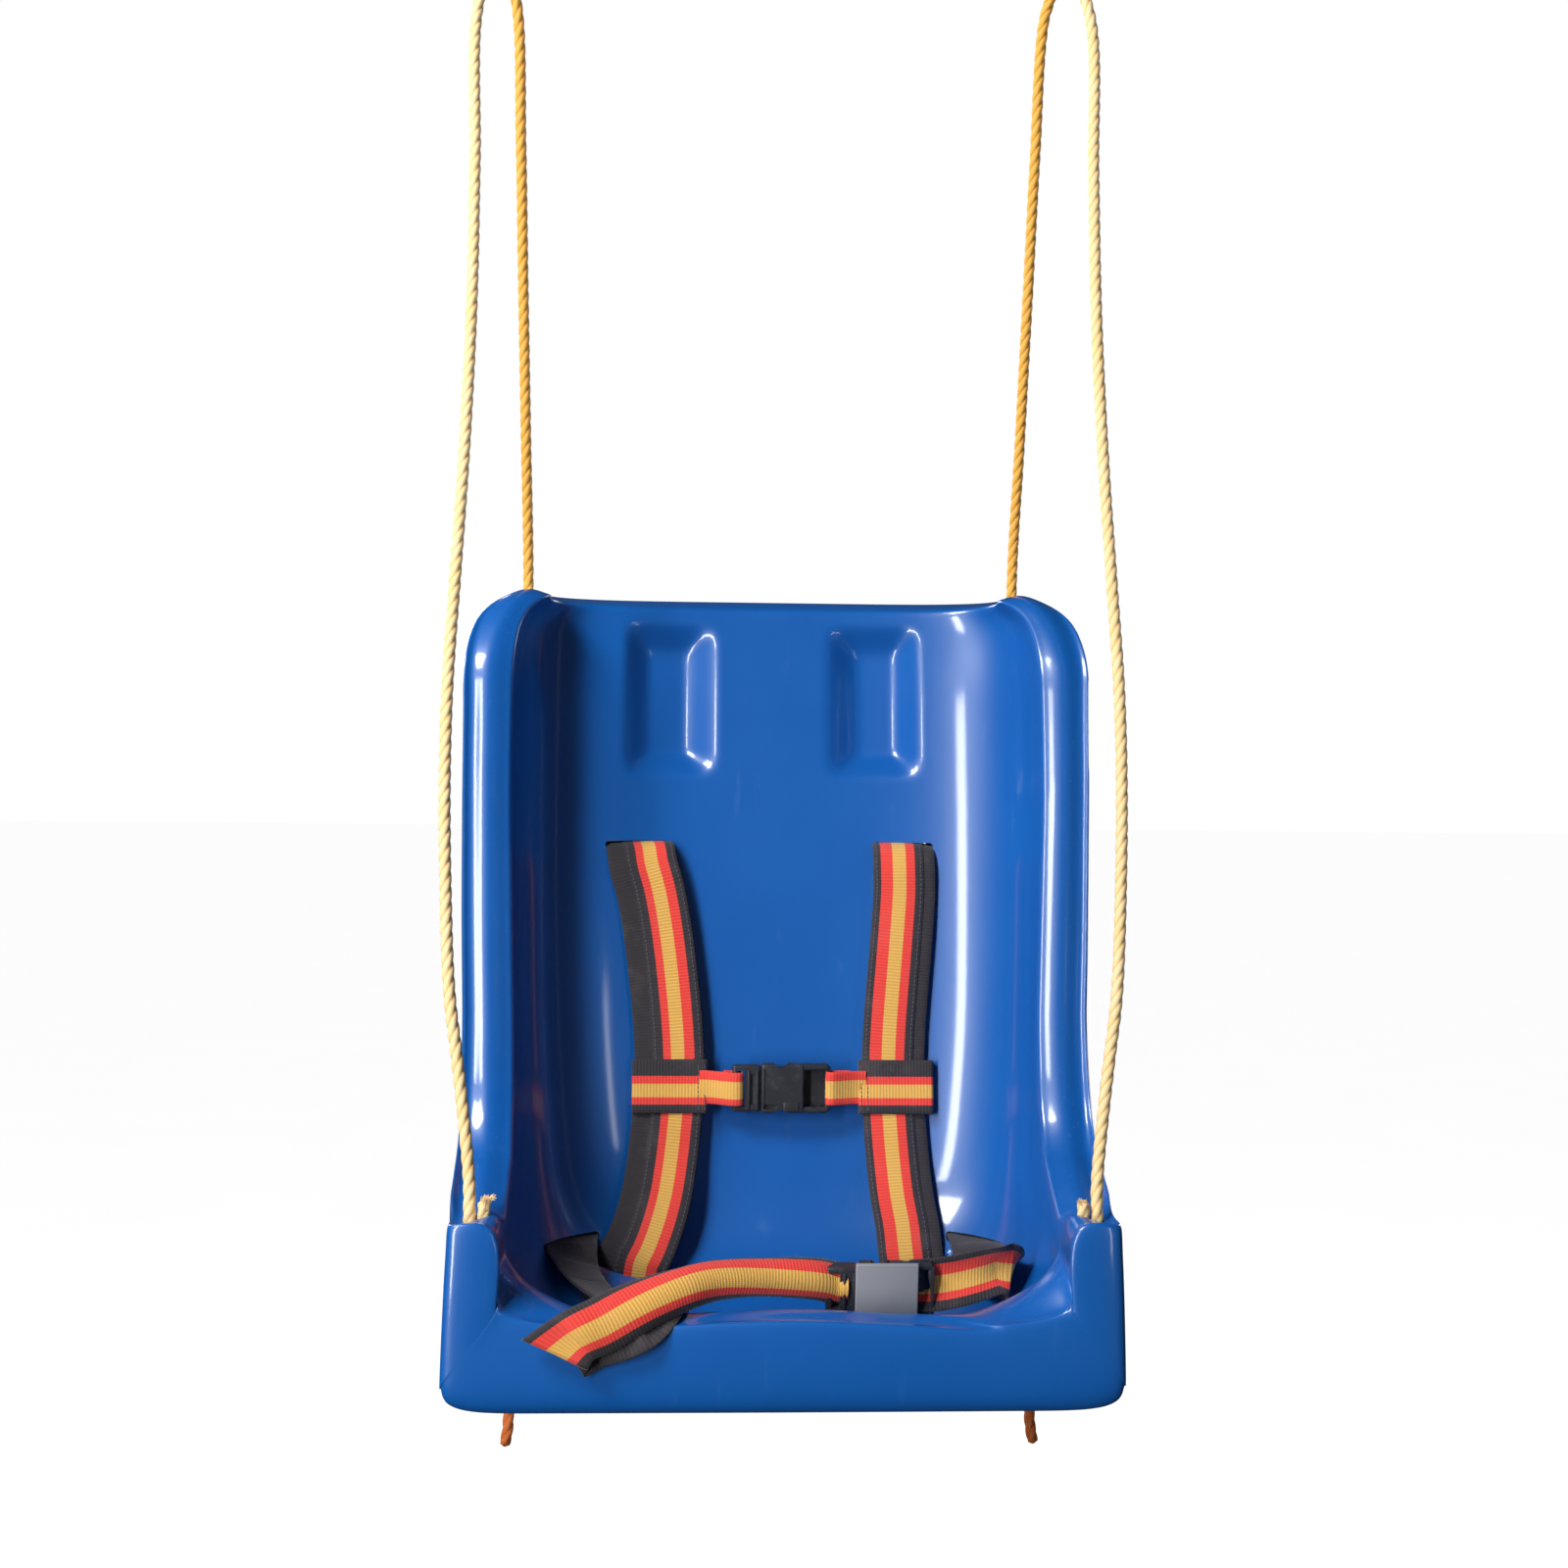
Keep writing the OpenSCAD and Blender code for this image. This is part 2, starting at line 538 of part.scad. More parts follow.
chest_band(1);  // chest_band_right
chest_webbing(-49, -31.5);  // chest_webbing_left
chest_webbing(30, 66);  // chest_webbing_right
chest_insert();
chest_arm(1);  // chest_arm_upper
chest_arm(-1);  // chest_arm_lower
chest_receiver();
lap_strap_left();
lap_tail_left();
lap_strap_right();
lap_slide(-1);  // lap_slide_left
lap_slide(1);  // lap_slide_right
lap_insert();
lap_arm(1);  // lap_arm_upper
lap_arm(-1);  // lap_arm_lower
lap_receiver();
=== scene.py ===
"""A support swing seat on four ropes: a smooth blue shell, an H-harness, a lap belt, and the ropes
with their eyes, rings and hooks. Lengths below are in millimetres in the seat's own frame, where x runs across,
y from the front face to the back and z up from the underside; placed() puts them into the shared frame."""
import math
import random

import bpy
import numpy as np
from mathutils import Matrix, Vector


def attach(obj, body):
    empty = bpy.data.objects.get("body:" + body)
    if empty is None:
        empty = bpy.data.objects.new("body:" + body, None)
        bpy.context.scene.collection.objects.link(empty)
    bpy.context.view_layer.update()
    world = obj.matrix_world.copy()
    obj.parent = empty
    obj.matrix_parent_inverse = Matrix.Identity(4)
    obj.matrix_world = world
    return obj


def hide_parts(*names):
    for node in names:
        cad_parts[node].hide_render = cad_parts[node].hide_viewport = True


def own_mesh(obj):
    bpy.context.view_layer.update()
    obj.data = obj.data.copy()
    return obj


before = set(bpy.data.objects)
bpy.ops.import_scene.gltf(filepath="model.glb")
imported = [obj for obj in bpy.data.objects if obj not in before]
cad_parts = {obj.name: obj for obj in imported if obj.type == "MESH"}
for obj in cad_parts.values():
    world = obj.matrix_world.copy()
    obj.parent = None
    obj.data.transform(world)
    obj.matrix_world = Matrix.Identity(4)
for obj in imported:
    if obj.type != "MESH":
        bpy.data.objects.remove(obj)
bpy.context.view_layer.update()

HANG = np.array([0.0, 222.0, 1241.5])   # the origin of the shared frame, in the seat's frame
BOTH = (("left", -1), ("right", 1))


def placed(points):
    return (np.asarray(points, float) - HANG) * 0.001


# ---------------------------------------------------------------- camera

def set_camera():
    data = bpy.data.cameras.new("camera")
    data.lens, data.sensor_width = 50.27, 36
    data.clip_start, data.clip_end = 0.05, 60
    camera = bpy.data.objects.new("camera", data)
    bpy.context.scene.collection.objects.link(camera)
    turn = (Matrix.Rotation(math.radians(-2.927), 4, "Z") @ Matrix.Rotation(math.radians(90 - 1.221), 4, "X")
            @ Matrix.Rotation(math.radians(0.606), 4, "Z"))
    camera.matrix_world = Matrix.Translation(placed([-79.3, -1445.3, 451.4])) @ turn
    bpy.context.scene.camera = camera


set_camera()


# ---------------------------------------------------------------- shader maths

class Field:
    """A number that varies over a surface, with its arithmetic written as in Python."""

    def __init__(self, finish, socket):
        self.finish, self.socket = finish, socket

    def maths(self, operation, *values):
        inputs = {i: v for i, v in enumerate(values)}
        node = self.finish.node("ShaderNodeMath", {"operation": operation}, inputs)
        return Field(self.finish, node.outputs[0])

    def __add__(self, other): return self.maths("ADD", self, other)
    def __radd__(self, other): return self.maths("ADD", other, self)
    def __sub__(self, other): return self.maths("SUBTRACT", self, other)
    def __rsub__(self, other): return self.maths("SUBTRACT", other, self)
    def __mul__(self, other): return self.maths("MULTIPLY", self, other)
    def __rmul__(self, other): return self.maths("MULTIPLY", other, self)

    def sine(self): return self.maths("SINE", self)
    def size(self): return self.maths("ABSOLUTE", self)

    def step(self, low, high):
        """0 below low, 1 above high, and smooth between."""
        node = self.finish.node("ShaderNodeMapRange", {"interpolation_type": "SMOOTHSTEP"},
                                {"Value": self, "From Min": low, "From Max": high})
        return Field(self.finish, node.outputs[0])


class Finish:
    """One material: a Principled shader, and whatever feeds it."""

    def __init__(self, name, **constants):
        self.material = bpy.data.materials.new(name)
        self.material.use_nodes = True
        self.tree = self.material.node_tree
        self.shader = self.tree.nodes["Principled BSDF"]
        for socket, value in constants.items():
            self.shader.inputs[socket.replace("_", " ")].default_value = value

    def node(self, kind, settings=None, inputs=None):
        """Adds a node: its settings first, then the values or links of its sockets."""
        made = self.tree.nodes.new(kind)
        for key, value in (settings or {}).items():
            setattr(made, key, value)
        for key, value in (inputs or {}).items():
            self.feed(made.inputs[key], value)
        return made

    def feed(self, socket, value):
        if isinstance(value, Field):
            value = value.socket
        if isinstance(value, bpy.types.NodeSocket):
            self.tree.links.new(value, socket)
        else:
            socket.default_value = value

    def place(self, source="Object"):
        return self.node("ShaderNodeTexCoord").outputs[source]

    def noise(self, scale, detail=3, roughness=0.55, vector=None, squeeze=None):
        where = vector or self.place()
        if squeeze:
            where = self.node("ShaderNodeMapping", None, {"Vector": where, "Scale": squeeze}).outputs[0]
        node = self.node("ShaderNodeTexNoise", None,
                         {"Vector": where, "Scale": scale, "Detail": detail, "Roughness": roughness})
        return Field(self, node.outputs["Fac"])

    def across_along(self):
        """The piece's own measures in metres: across its width, and along its length."""
        split = self.node("ShaderNodeSeparateXYZ", None, {"Vector": self.place("UV")})
        return Field(self, split.outputs[0]), Field(self, split.outputs[1])

    def mix(self, factor, first, second):
        node = self.node("ShaderNodeMix", {"data_type": "RGBA"}, {0: factor, 6: first, 7: second})
        return node.outputs[2]

    def bump(self, height, distance, strength=1.0, below=None):
        inputs = {"Height": height, "Distance": distance, "Strength": strength}
        if below is not None:
            inputs["Normal"] = below
        return self.node("ShaderNodeBump", None, inputs).outputs[0]

    def set(self, **links):
        for socket, value in links.items():
            self.feed(self.shader.inputs[socket.replace("_", " ")], value)
        return self.material


def colour(code):
    """Linear colour of an sRGB hex code."""
    parts = [int(code[i:i + 2], 16) / 255 for i in (0, 2, 4)]
    return tuple(c / 12.92 if c < 0.04045 else ((c + 0.055) / 1.055) ** 2.4 for c in parts) + (1,)


# ---------------------------------------------------------------- materials

def shell_finish():
    """Glossy moulded polyethylene: even blue, a faint ripple, fine rubs, and scuffs along the rim."""
    f = Finish("moulded_blue", IOR=1.5, Specular_IOR_Level=0.5, Coat_Roughness=0.10)
    cloudy = f.noise(7, 3)
    rim = Field(f, f.node("ShaderNodeAttribute", {"attribute_name": "rim"}).outputs["Fac"])
    rubs = f.noise(60, 5, 0.7, squeeze=(1, 1, 0.12)).step(0.60, 0.74)
    scuffs = rim * f.noise(420, 4, 0.7).step(0.60, 0.70)
    base = f.mix(cloudy, colour("0853A2"), colour("0B5EB0"))
    base = f.mix(rubs * 0.05 + scuffs * 0.30, base, colour("6C95C8"))
    rough = 0.33 + cloudy * 0.06 + rubs * 0.06 + scuffs * 0.15
    ripple = f.bump(f.noise(38, 2, 0.4), 0.0006, 0.30)
    grain = f.bump(f.noise(900, 2, 0.5), 0.00006, 0.35, below=ripple)
    f.set(Base_Color=base, Roughness=rough, Coat_Weight=0.70 - scuffs * 0.5, Normal=grain)
    return f.material


def rope_finish(name, light, dark, shade_below=False):
    """Three-strand film rope: fine yarns along each strand, painted shade in the groove between strands, and a dry
    sheen. Where asked, painted shade also darkens the rope below the seat.
    """
    f = Finish(name, Sheen_Weight=0.25, Sheen_Roughness=0.4)
    across, along = f.across_along()
    yarns = (across * 44 + along * 260).sine() * 0.5 + 0.5
    groove = ((across - 0.5).size() * 2).step(0.62, 1.0)
    blotch = f.noise(55, 3)
    base = f.mix(blotch * 0.6 + yarns * 0.25, colour(light), colour("F6BE55"))
    # painted shade: the groove between strands is darkened towards the dark colour
    base = f.mix(groove * 0.75, base, colour(dark))
    # painted shade: below the seat, under z -1.262 m, the rope is darkened towards deep orange
    if shade_below:
        height = Field(f, f.node("ShaderNodeSeparateXYZ", None, {"Vector": f.place()}).outputs[2])
        base = f.mix((1 - height.step(-1.30, -1.262)) * 0.85, base, colour("B8480A"))
    f.set(Base_Color=base, Roughness=0.52 + blotch * 0.15 + groove * 0.1,
          Normal=f.bump(yarns, 0.0004, 0.6, below=f.bump(f.noise(900, 3), 0.0002, 0.4)))
    return f.material


RED, YELLOW, DARK = "FF3B2E", "F6BC55", "1E1B24"


def webbing_finish(name, stripes):
    """Woven webbing, with painted shade darkening the low lines of the weave. stripes gives where each colour starts
    across the width, in millimetres.
    """
    f = Finish(name, Sheen_Weight=0.2, Sheen_Roughness=0.45)
    across, along = f.across_along()
    base = colour(DARK)
    for start, code in stripes:
        edge = (across * 1000 + (along * 3200).sine() * 0.12).step(start - 0.15, start + 0.15)
        base = f.mix(edge, base, colour(code))
    ribs = (along * 2600).sine() * 0.5 + 0.5
    warp = (across * 5200 + (along * 2600).sine() * 0.9).sine() * 0.5 + 0.5
    worn = f.noise(45, 4)
    thread = f.noise(1500, 2)
    # painted shade: the low lines between the ribs and the warp threads are darkened
    base = f.mix((1 - ribs) * 0.22 + (1 - warp) * 0.12, base, colour("24202A"))
    base = f.mix(worn.step(0.5, 0.8) * 0.06 + thread * 0.05, base, colour("B9A9A0"))
    f.set(Base_Color=base, Roughness=0.72 + worn * 0.12,
          Normal=f.bump(ribs * 0.6 + warp * 0.4, 0.0005, 0.75, below=f.bump(thread, 0.0002, 0.5)))
    return f.material


def acetal_finish(name, code, rough, shine=0.4):
    """Moulded buckle plastic with a fine spark-eroded grain and pale rubbed patches."""
    f = Finish(name, Specular_IOR_Level=shine, IOR=1.48)
    rub = f.noise(130, 4).step(0.52, 0.75)
    scratch = f.noise(500, 3, 0.6, squeeze=(1, 6, 0.3)).step(0.62, 0.72)
    base = f.mix(rub * 0.10 + scratch * 0.12, colour(code), colour("8E8E96"))
    f.set(Base_Color=base, Roughness=rough + rub * 0.08 - scratch * 0.05,
          Normal=f.bump(f.noise(2600, 2), 0.00008, 0.6))
    return f.material


def zinc_finish():
    """Bright zinc plate: faint spangle, dull patches and a few dark marks where parts rub."""
    f = Finish("zinc_plate", Metallic=1.0)
    dull = f.noise(140, 4)
    marks = f.noise(60, 5, 0.7).step(0.58, 0.75)
    base = f.mix(dull, colour("A9ADB3"), colour("D4D6D8"))
    base = f.mix(marks * 0.4, base, colour("6E6A62"))
    f.set(Base_Color=base, Roughness=0.24 + dull * 0.16 + marks * 0.2,
          Normal=f.bump(f.noise(700, 3), 0.0001, 0.4))
    return f.material


BLUE_PLASTIC = shell_finish()
# the second colour given to each rope finish, here and for the twine, is the painted shade in its grooves; the rear
# rope also gets painted shade below the seat
ROPE = rope_finish("rope_yellow", "FFEFC6", "DFAE56")
ROPE_REAR = rope_finish("rope_amber", "F8B13C", "B8721A", True)
ZINC = zinc_finish()
BLACK_PLASTIC = acetal_finish("acetal_black", "2F2F35", 0.34)
GREY_PLASTIC = acetal_finish("acetal_grey", "8A8C93", 0.38)
DARK_CLOTH = webbing_finish("webbing_plain", [])
THREAD = acetal_finish("stitch_thread", "5A5560", 0.7, 0.2)
TWINE = rope_finish("twine_dark", "4A4650", "2A2730")
SHOULDER_LEFT = webbing_finish("webbing_left", [(7.5, RED), (13.5, YELLOW), (23.8, RED), (31.5, DARK)])
SHOULDER_RIGHT = webbing_finish("webbing_right", [(4.8, RED), (14.0, YELLOW), (24.5, RED), (31.5, DARK)])
CHEST = webbing_finish("webbing_chest", [(6.0, RED), (11.5, YELLOW), (21.8, RED), (27.8, DARK)])
CHEST_NARROW = webbing_finish("webbing_narrow", [(0.2, RED), (5.2, YELLOW), (18.5, RED)])
LAP = webbing_finish("webbing_lap", [(4.4, RED), (13.6, YELLOW), (26.2, RED), (31.6, DARK)])


# ---------------------------------------------------------------- making and placing pieces

def only(obj):
    if bpy.context.object and bpy.context.object.mode != "OBJECT":
        bpy.ops.object.mode_set(mode="OBJECT")
    bpy.ops.object.select_all(action="DESELECT")
    bpy.context.view_layer.objects.active = obj
    obj.select_set(True)
    return obj


def edit(obj, work):
    only(obj)
    bpy.ops.object.mode_set(mode="EDIT")
    bpy.ops.mesh.select_all(action="SELECT")
    work()
    bpy.ops.object.mode_set(mode="OBJECT")


def modifier(obj, kind, **settings):
    """Adds a modifier and applies it."""
    made = obj.modifiers.new("step", kind)
    for key, value in settings.items():
        setattr(made, key, value)
    only(obj)
    bpy.ops.object.modifier_apply(modifier=made.name)
    return obj


def settle(obj, name, finish, body="seat", stands_for=(), angle=40):
    """Names a finished piece, gives it its finish and body, and hides the solids that it stands for."""
    obj.name = obj.data.name = name
    obj.data.materials.clear()
    obj.data.materials.append(finish)
    only(obj)
    bpy.ops.object.shade_smooth_by_angle(angle=math.radians(angle))
    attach(obj, body)
    if stands_for:
        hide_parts(*stands_for)
    return obj


def soft_piece(obj, name, finish, slot, *stands_for):
    """A rope or webbing piece on the seat, smooth but for its edges."""
    return settle(obj, name, finish, "seat", stands_for, 60)


def mesh_from(points, faces, uv=None):
    """A mesh from points in the seat's frame; uv gives each face corner its measures in metres."""
    mesh = bpy.data.meshes.new("piece")
    mesh.from_pydata(placed(points).tolist(), [], faces)
    if uv is not None:
        layer = mesh.uv_layers.new(name="measures")
        layer.data.foreach_set("uv", np.asarray(uv, np.float32).ravel())
    obj = bpy.data.objects.new("piece", mesh)
    bpy.context.scene.collection.objects.link(obj)
    return obj


def outwards(obj):
    edit(obj, lambda: bpy.ops.mesh.normals_make_consistent(inside=False))
    return obj


def move_to(obj, matrix):
    """Carries a piece modelled in millimetres round its own origin into place."""
    bpy.context.view_layer.update()
    into_frame = Matrix.Translation(placed([0, 0, 0])) @ Matrix.Scale(0.001, 4)
    obj.data.transform(into_frame @ matrix @ obj.matrix_world)
    obj.matrix_world = Matrix.Identity(4)
    return obj


def block(low, high, soft=0.0, segments=3):
    """A block between two corners, in millimetres, with its edges rounded."""
    low, high = np.array(low, float), np.array(high, float)
    bpy.ops.object.select_all(action="DESELECT")
    bpy.ops.mesh.primitive_cube_add(size=1, location=(low + high) / 2, scale=high - low)
    obj = bpy.context.object
    bpy.ops.object.transform_apply(location=True, rotation=True, scale=True)
    if soft:
        modifier(obj, "BEVEL", width=soft, segments=segments, limit_method="ANGLE")
    return obj


def rod(centre, radius, length, axis="z", soft=0.0, sides=40):
    turn = {"x": (0, math.pi / 2, 0), "y": (math.pi / 2, 0, 0), "z": (0, 0, 0)}[axis]
    bpy.ops.object.select_all(action="DESELECT")
    bpy.ops.mesh.primitive_cylinder_add(vertices=sides, radius=radius, depth=length, location=centre,
                                        rotation=turn)
    obj = bpy.context.object
    bpy.ops.object.transform_apply(location=True, rotation=True, scale=True)
    if soft:
        modifier(obj, "BEVEL", width=soft, segments=3, limit_method="ANGLE")
    return obj


def combine(obj, others, operation="DIFFERENCE"):
    """Cuts pieces out of obj, or adds them to it, one at a time."""
    for other in others:
        modifier(obj, "BOOLEAN", object=other, operation=operation, solver="EXACT")
        bpy.data.objects.remove(other)
    return obj


def joined(parts):
    for part in parts:
        part.select_set(False)
    only(parts[0])
    for part in parts[1:]:
        part.select_set(True)
    bpy.ops.object.join()
    return parts[0]


def softened(node, width, finish, body="seat"):
    """A carried-over solid with its edges rounded as they are moulded or tumbled."""
    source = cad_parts[node]
    obj = bpy.data.objects.new("piece", source.data.copy())
    bpy.context.scene.collection.objects.link(obj)

    def clean():
        bpy.ops.mesh.remove_doubles(threshold=0.00002)
        bpy.ops.mesh.dissolve_limited(angle_limit=math.radians(4))
    edit(obj, clean)
    modifier(obj, "BEVEL", width=width * 0.001, segments=2, limit_method="ANGLE", angle_limit=math.radians(35))
    return settle(obj, "soft_" + node, finish, body, (node,))


# ---------------------------------------------------------------- routes

def unit(v):
    v = np.asarray(v, float)
    return v / np.maximum(np.linalg.norm(v, axis=-1, keepdims=True), 1e-9)


def smooth_route(points, step):
    """Even points on a smooth curve through a route, and where each lies between the route's points."""
    p = np.asarray(points, float)
    ends = np.vstack([2 * p[0] - p[1], p, 2 * p[-1] - p[-2]])
    dense, index = [], []
    for i in range(len(p) - 1):
        a, b, c, d = ends[i:i + 4]
        t = np.cumsum([0] + [max(np.linalg.norm(v - u), 1e-6) ** 0.5 for u, v in ((a, b), (b, c), (c, d))])
        for s in np.linspace(0, 1, 16, endpoint=False):
            x = t[1] + s * (t[2] - t[1])
            ab = a + (b - a) * (x - t[0]) / (t[1] - t[0])
            bc = b + (c - b) * (x - t[1]) / (t[2] - t[1])
            cd = c + (d - c) * (x - t[2]) / (t[3] - t[2])
            abc = ab + (bc - ab) * (x - t[0]) / (t[2] - t[0])
            bcd = bc + (cd - bc) * (x - t[1]) / (t[3] - t[1])
            dense.append(abc + (bcd - abc) * (x - t[1]) / (t[2] - t[1]))
            index.append(i + s)
    dense, index = np.vstack([dense, p[-1]]), np.append(index, len(p) - 1)
    length = np.append(0, np.cumsum(np.linalg.norm(np.diff(dense, axis=0), axis=1)))
    even = np.linspace(0, length[-1], max(2, int(round(length[-1] / step)) + 1))
    return (np.column_stack([np.interp(even, length, dense[:, k]) for k in range(dense.shape[1])]),
            np.interp(even, length, index), even)


def frames(centre):
    """Directions square to a curve, carried along it without twist."""
    heading = unit(np.gradient(centre, axis=0))
    first = np.array([0.2, 1, 0.1])
    rows = []
    for h in heading:
        first = unit(first - (first @ h) * h)
        rows.append(first)
    first = np.array(rows)
    return heading, first, np.cross(heading, first)


def swept(rings, measures):
    """A closed skin over rings of equal points; measures gives each ring's u values and its v."""
    count, n = len(rings), len(rings[0])
    points = np.concatenate(rings)
    faces, uv = [], []
    for i in range(count - 1):
        (u, v), (_, w) = measures[i], measures[i + 1]
        for k in range(n):
            q = (k + 1) % n
            faces.append((i * n + k, i * n + q, (i + 1) * n + q, (i + 1) * n + k))
            a, b = u[k]
            uv += [(a, v), (b, v), (b, w), (a, w)]
    for i in (0, count - 1):
        faces.append(tuple(range(i * n, i * n + n)))
        uv += [(measures[i][0][k][0], measures[i][1]) for k in range(n)]
    return mesh_from(points, faces, uv)


# ---------------------------------------------------------------- the shell

# from the top of the back to the front of the lip: y and z of the inner and outer skin at the middle, y and z
# of each at the rim, and half the width of each
STATIONS = [
    (322, 547, 363, 547, 258, 553, 268, 553, 176, 206), (318, 531, 360, 531, 238, 539, 242, 539, 192, 227),
    (311, 496, 353, 496, 217, 508, 217, 508, 198, 236), (299, 436, 341, 436, 203, 452, 203, 452, 199, 236),
    (285, 366, 327, 366, 190, 382, 190, 382, 198, 235), (271, 296, 314, 296, 177, 312, 177, 312, 196, 234),
    (258, 226, 302, 226, 163, 244, 163, 244, 194, 232), (247, 166, 292, 160, 148, 194, 148, 194, 192, 231),
    (234, 110, 283, 96, 132, 166, 132, 166, 191, 230), (213, 71, 275, 44, 116, 150, 116, 150, 190, 230),
    (183, 46, 262, 10, 101, 141, 101, 141, 190, 230), (150, 37, 238, 0, 87, 133, 87, 133, 190, 230),
    (115, 34, 160, 0, 74, 127, 74, 127, 190, 230), (86, 34, 85, 0, 62, 122, 60, 122, 190, 229),
    (64, 37, 30, 0, 53, 118, 40, 118, 190, 227), (51, 44, 11, 0, 46, 118, 12, 118, 190, 225),
    (44, 51, 0, 10, 42, 118, 0, 118, 190, 222), (41, 57, 0, 57, 39, 118, 0, 118, 190, 194)]
SWEEP = [0, 2, 7, 14, 23, 33, 44, 55, 66, 76, 84, 90]
EXTRA_ROWS = [2, 2.5, 3, 3.5, 4]     # stations this close together hold the shape of the recesses
RECLINE = math.radians(11.3)
CREST = ((0.14, 4.5), (0.5, 9.5), (0.86, 5.5))     # places across the rim, and how far each stands up


def station(place):
    """A station, or one on a smooth curve between two."""
    i = int(place)
    t = place - i
    a, b, c, d = (np.array(STATIONS[min(max(j, 0), len(STATIONS) - 1)]) for j in range(i - 1, i + 3))
    v = b + 0.5 * t * (c - a + t * (2 * a - 5 * b + 4 * c - d + t * (3 * (b - c) + d - a)))
    return [v[0:2], v[2:4], v[4:6], v[6:8], v[8], v[9]]


def lip_dip(x, share):
    if share <= 0:
        return 0.0
    wave = 1.0 if abs(x) > 112 else (1 - math.cos(math.pi * x / 112)) / 2
    return -11 * share * wave * max(0, 1 - (abs(x) / 190) ** 4) ** 2


def skin_row(place, outer):
    last = len(STATIONS) - 1
    middle, rim, half = (station(place)[k] for k in ((1, 3, 5) if outer else (0, 2, 4)))
    power = (16 if place > 11 else 8) if outer else 3
    share = 0 if outer and place < last else (place - 14) / (last - 14)
    row = []
    for degrees in [-a for a in SWEEP[:0:-1]] + SWEEP:
        a = math.radians(abs(degrees))
        x = half * math.sin(a) ** (2 / power)
        g = 1 - max(0, math.cos(a)) ** (2 / power) if degrees not in (90, -90) else 1
        y, z = middle + (rim - middle) * g
        row.append([math.copysign(x, degrees), y, z + lip_dip(x, share)])
    return row


def shell_cage():
    """The two skins as grids of quads, joined round their edge by a crowned rim."""
    places = sorted(set(range(len(STATIONS))) | set(EXTRA_ROWS))
    inner, outer = ([skin_row(p, side) for p in places] for side in (False, True))
    rows, n = len(places), len(inner[0])
    edge = ([(0, k) for k in range(n)] + [(i, n - 1) for i in range(1, rows)]
            + [(rows - 1, k) for k in range(n - 2, -1, -1)] + [(i, 0) for i in range(rows - 2, 0, -1)])

    def crown(i, k):
        wing = unit(np.array([0, *(station(places[i])[2] - station(places[i])[0])]))
        if i == 0:
            corner = k in (0, n - 1)
            return unit([math.copysign(0.5, k - 1), wing[1], 0.8]) if corner else np.array([0, 0.2, 0.98])
        return np.array([0, 0, 1.0]) if i > rows - 5 else wing
    crest = []
    for share, height in CREST:
        for i, k in edge:
            a, b = np.array(inner[i][k]), np.array(outer[i][k])
            crest.append(a + (b - a) * share + crown(i, k) * height)
    points = [p for row in inner for p in row] + [p for row in outer for p in row] + crest
    m, base = len(edge), 2 * rows * n
    ids = [i * n + k for i, k in edge]
    loops = [ids] + [list(range(base + r * m, base + r * m + m)) for r in range(len(CREST))]
    loops.append([rows * n + e for e in ids])
    faces = []
    for i in range(rows - 1):
        for k in range(n - 1):
            a, b = i * n + k, rows * n + i * n + k
            faces += [(a, a + 1, a + n + 1, a + n), (b, b + n, b + n + 1, b + 1)]
    for one, two in zip(loops, loops[1:]):
        faces += [(one[j], two[j], two[(j + 1) % m], one[(j + 1) % m]) for j in range(m)]
    return np.array(points), faces, np.array(crest).reshape(len(CREST), m, 3)[1]


def through_points(points, faces):
    """Moves a cage so that the smooth surface over it passes close to the points given."""
    cage = points.copy()
    for _ in range(3):
        trial = mesh_from(cage, faces)
        modifier(trial, "SUBSURF", levels=1, render_levels=1)
        smooth = np.array([v.co for v in trial.data.vertices][:len(points)]) * 1000 + HANG
        bpy.data.objects.remove(trial)
        cage += (points - smooth) * 0.8
    return cage


def press_recess(co, x):
    """Presses one of the two recesses, a shallow tapered tray, into the back of the hollow."""
    along = np.array([0, math.sin(RECLINE), math.cos(RECLINE)])
    back = np.array([0, math.cos(RECLINE), -math.sin(RECLINE)])
    local = co - np.array([x * 0.985, 308, 478])
    u, w, depth = local[:, 0] * math.copysign(1, x), local @ along, local @ back
    sides = np.where(u > 4, (u - 17) / 21, (-u - 10) / 28)
    ends = (np.abs(w) - 37) / 24
    away = (np.maximum(sides, 0) ** 3.4 + np.maximum(ends, 0) ** 3.4) ** (1 / 3.4)
    t = np.clip(1 - away, 0, 1)
    move = 14.5 * (0.45 * t + 0.55 * t * t * (3 - 2 * t))
    move[np.abs(depth) > 34] = 0
    return move[:, None] * back


def settled_outline(co):
    """Small last moves: the top edge up, the wings' front edges in, and the lower corners of the lip out."""
    x, y, z = co.T
    move = np.zeros_like(co)
    move[:, 2] = 5 * np.clip((z - 440) / 90, 0, 1)
    wing = np.clip((z - 170) / 80, 0, 1) * np.clip((190 - y) / 60, 0, 1)
    move[:, 0] = np.where(x > 0, -5, 2) * wing * np.clip((np.abs(x) - 130) / 60, 0, 1)
    corner = np.clip((110 - z) / 110, 0, 1) * np.clip((90 - y) / 60, 0, 1)
    move[:, 0] += np.sign(x) * 5 * corner * np.clip((np.abs(x) - 180) / 40, 0, 1)
    return move


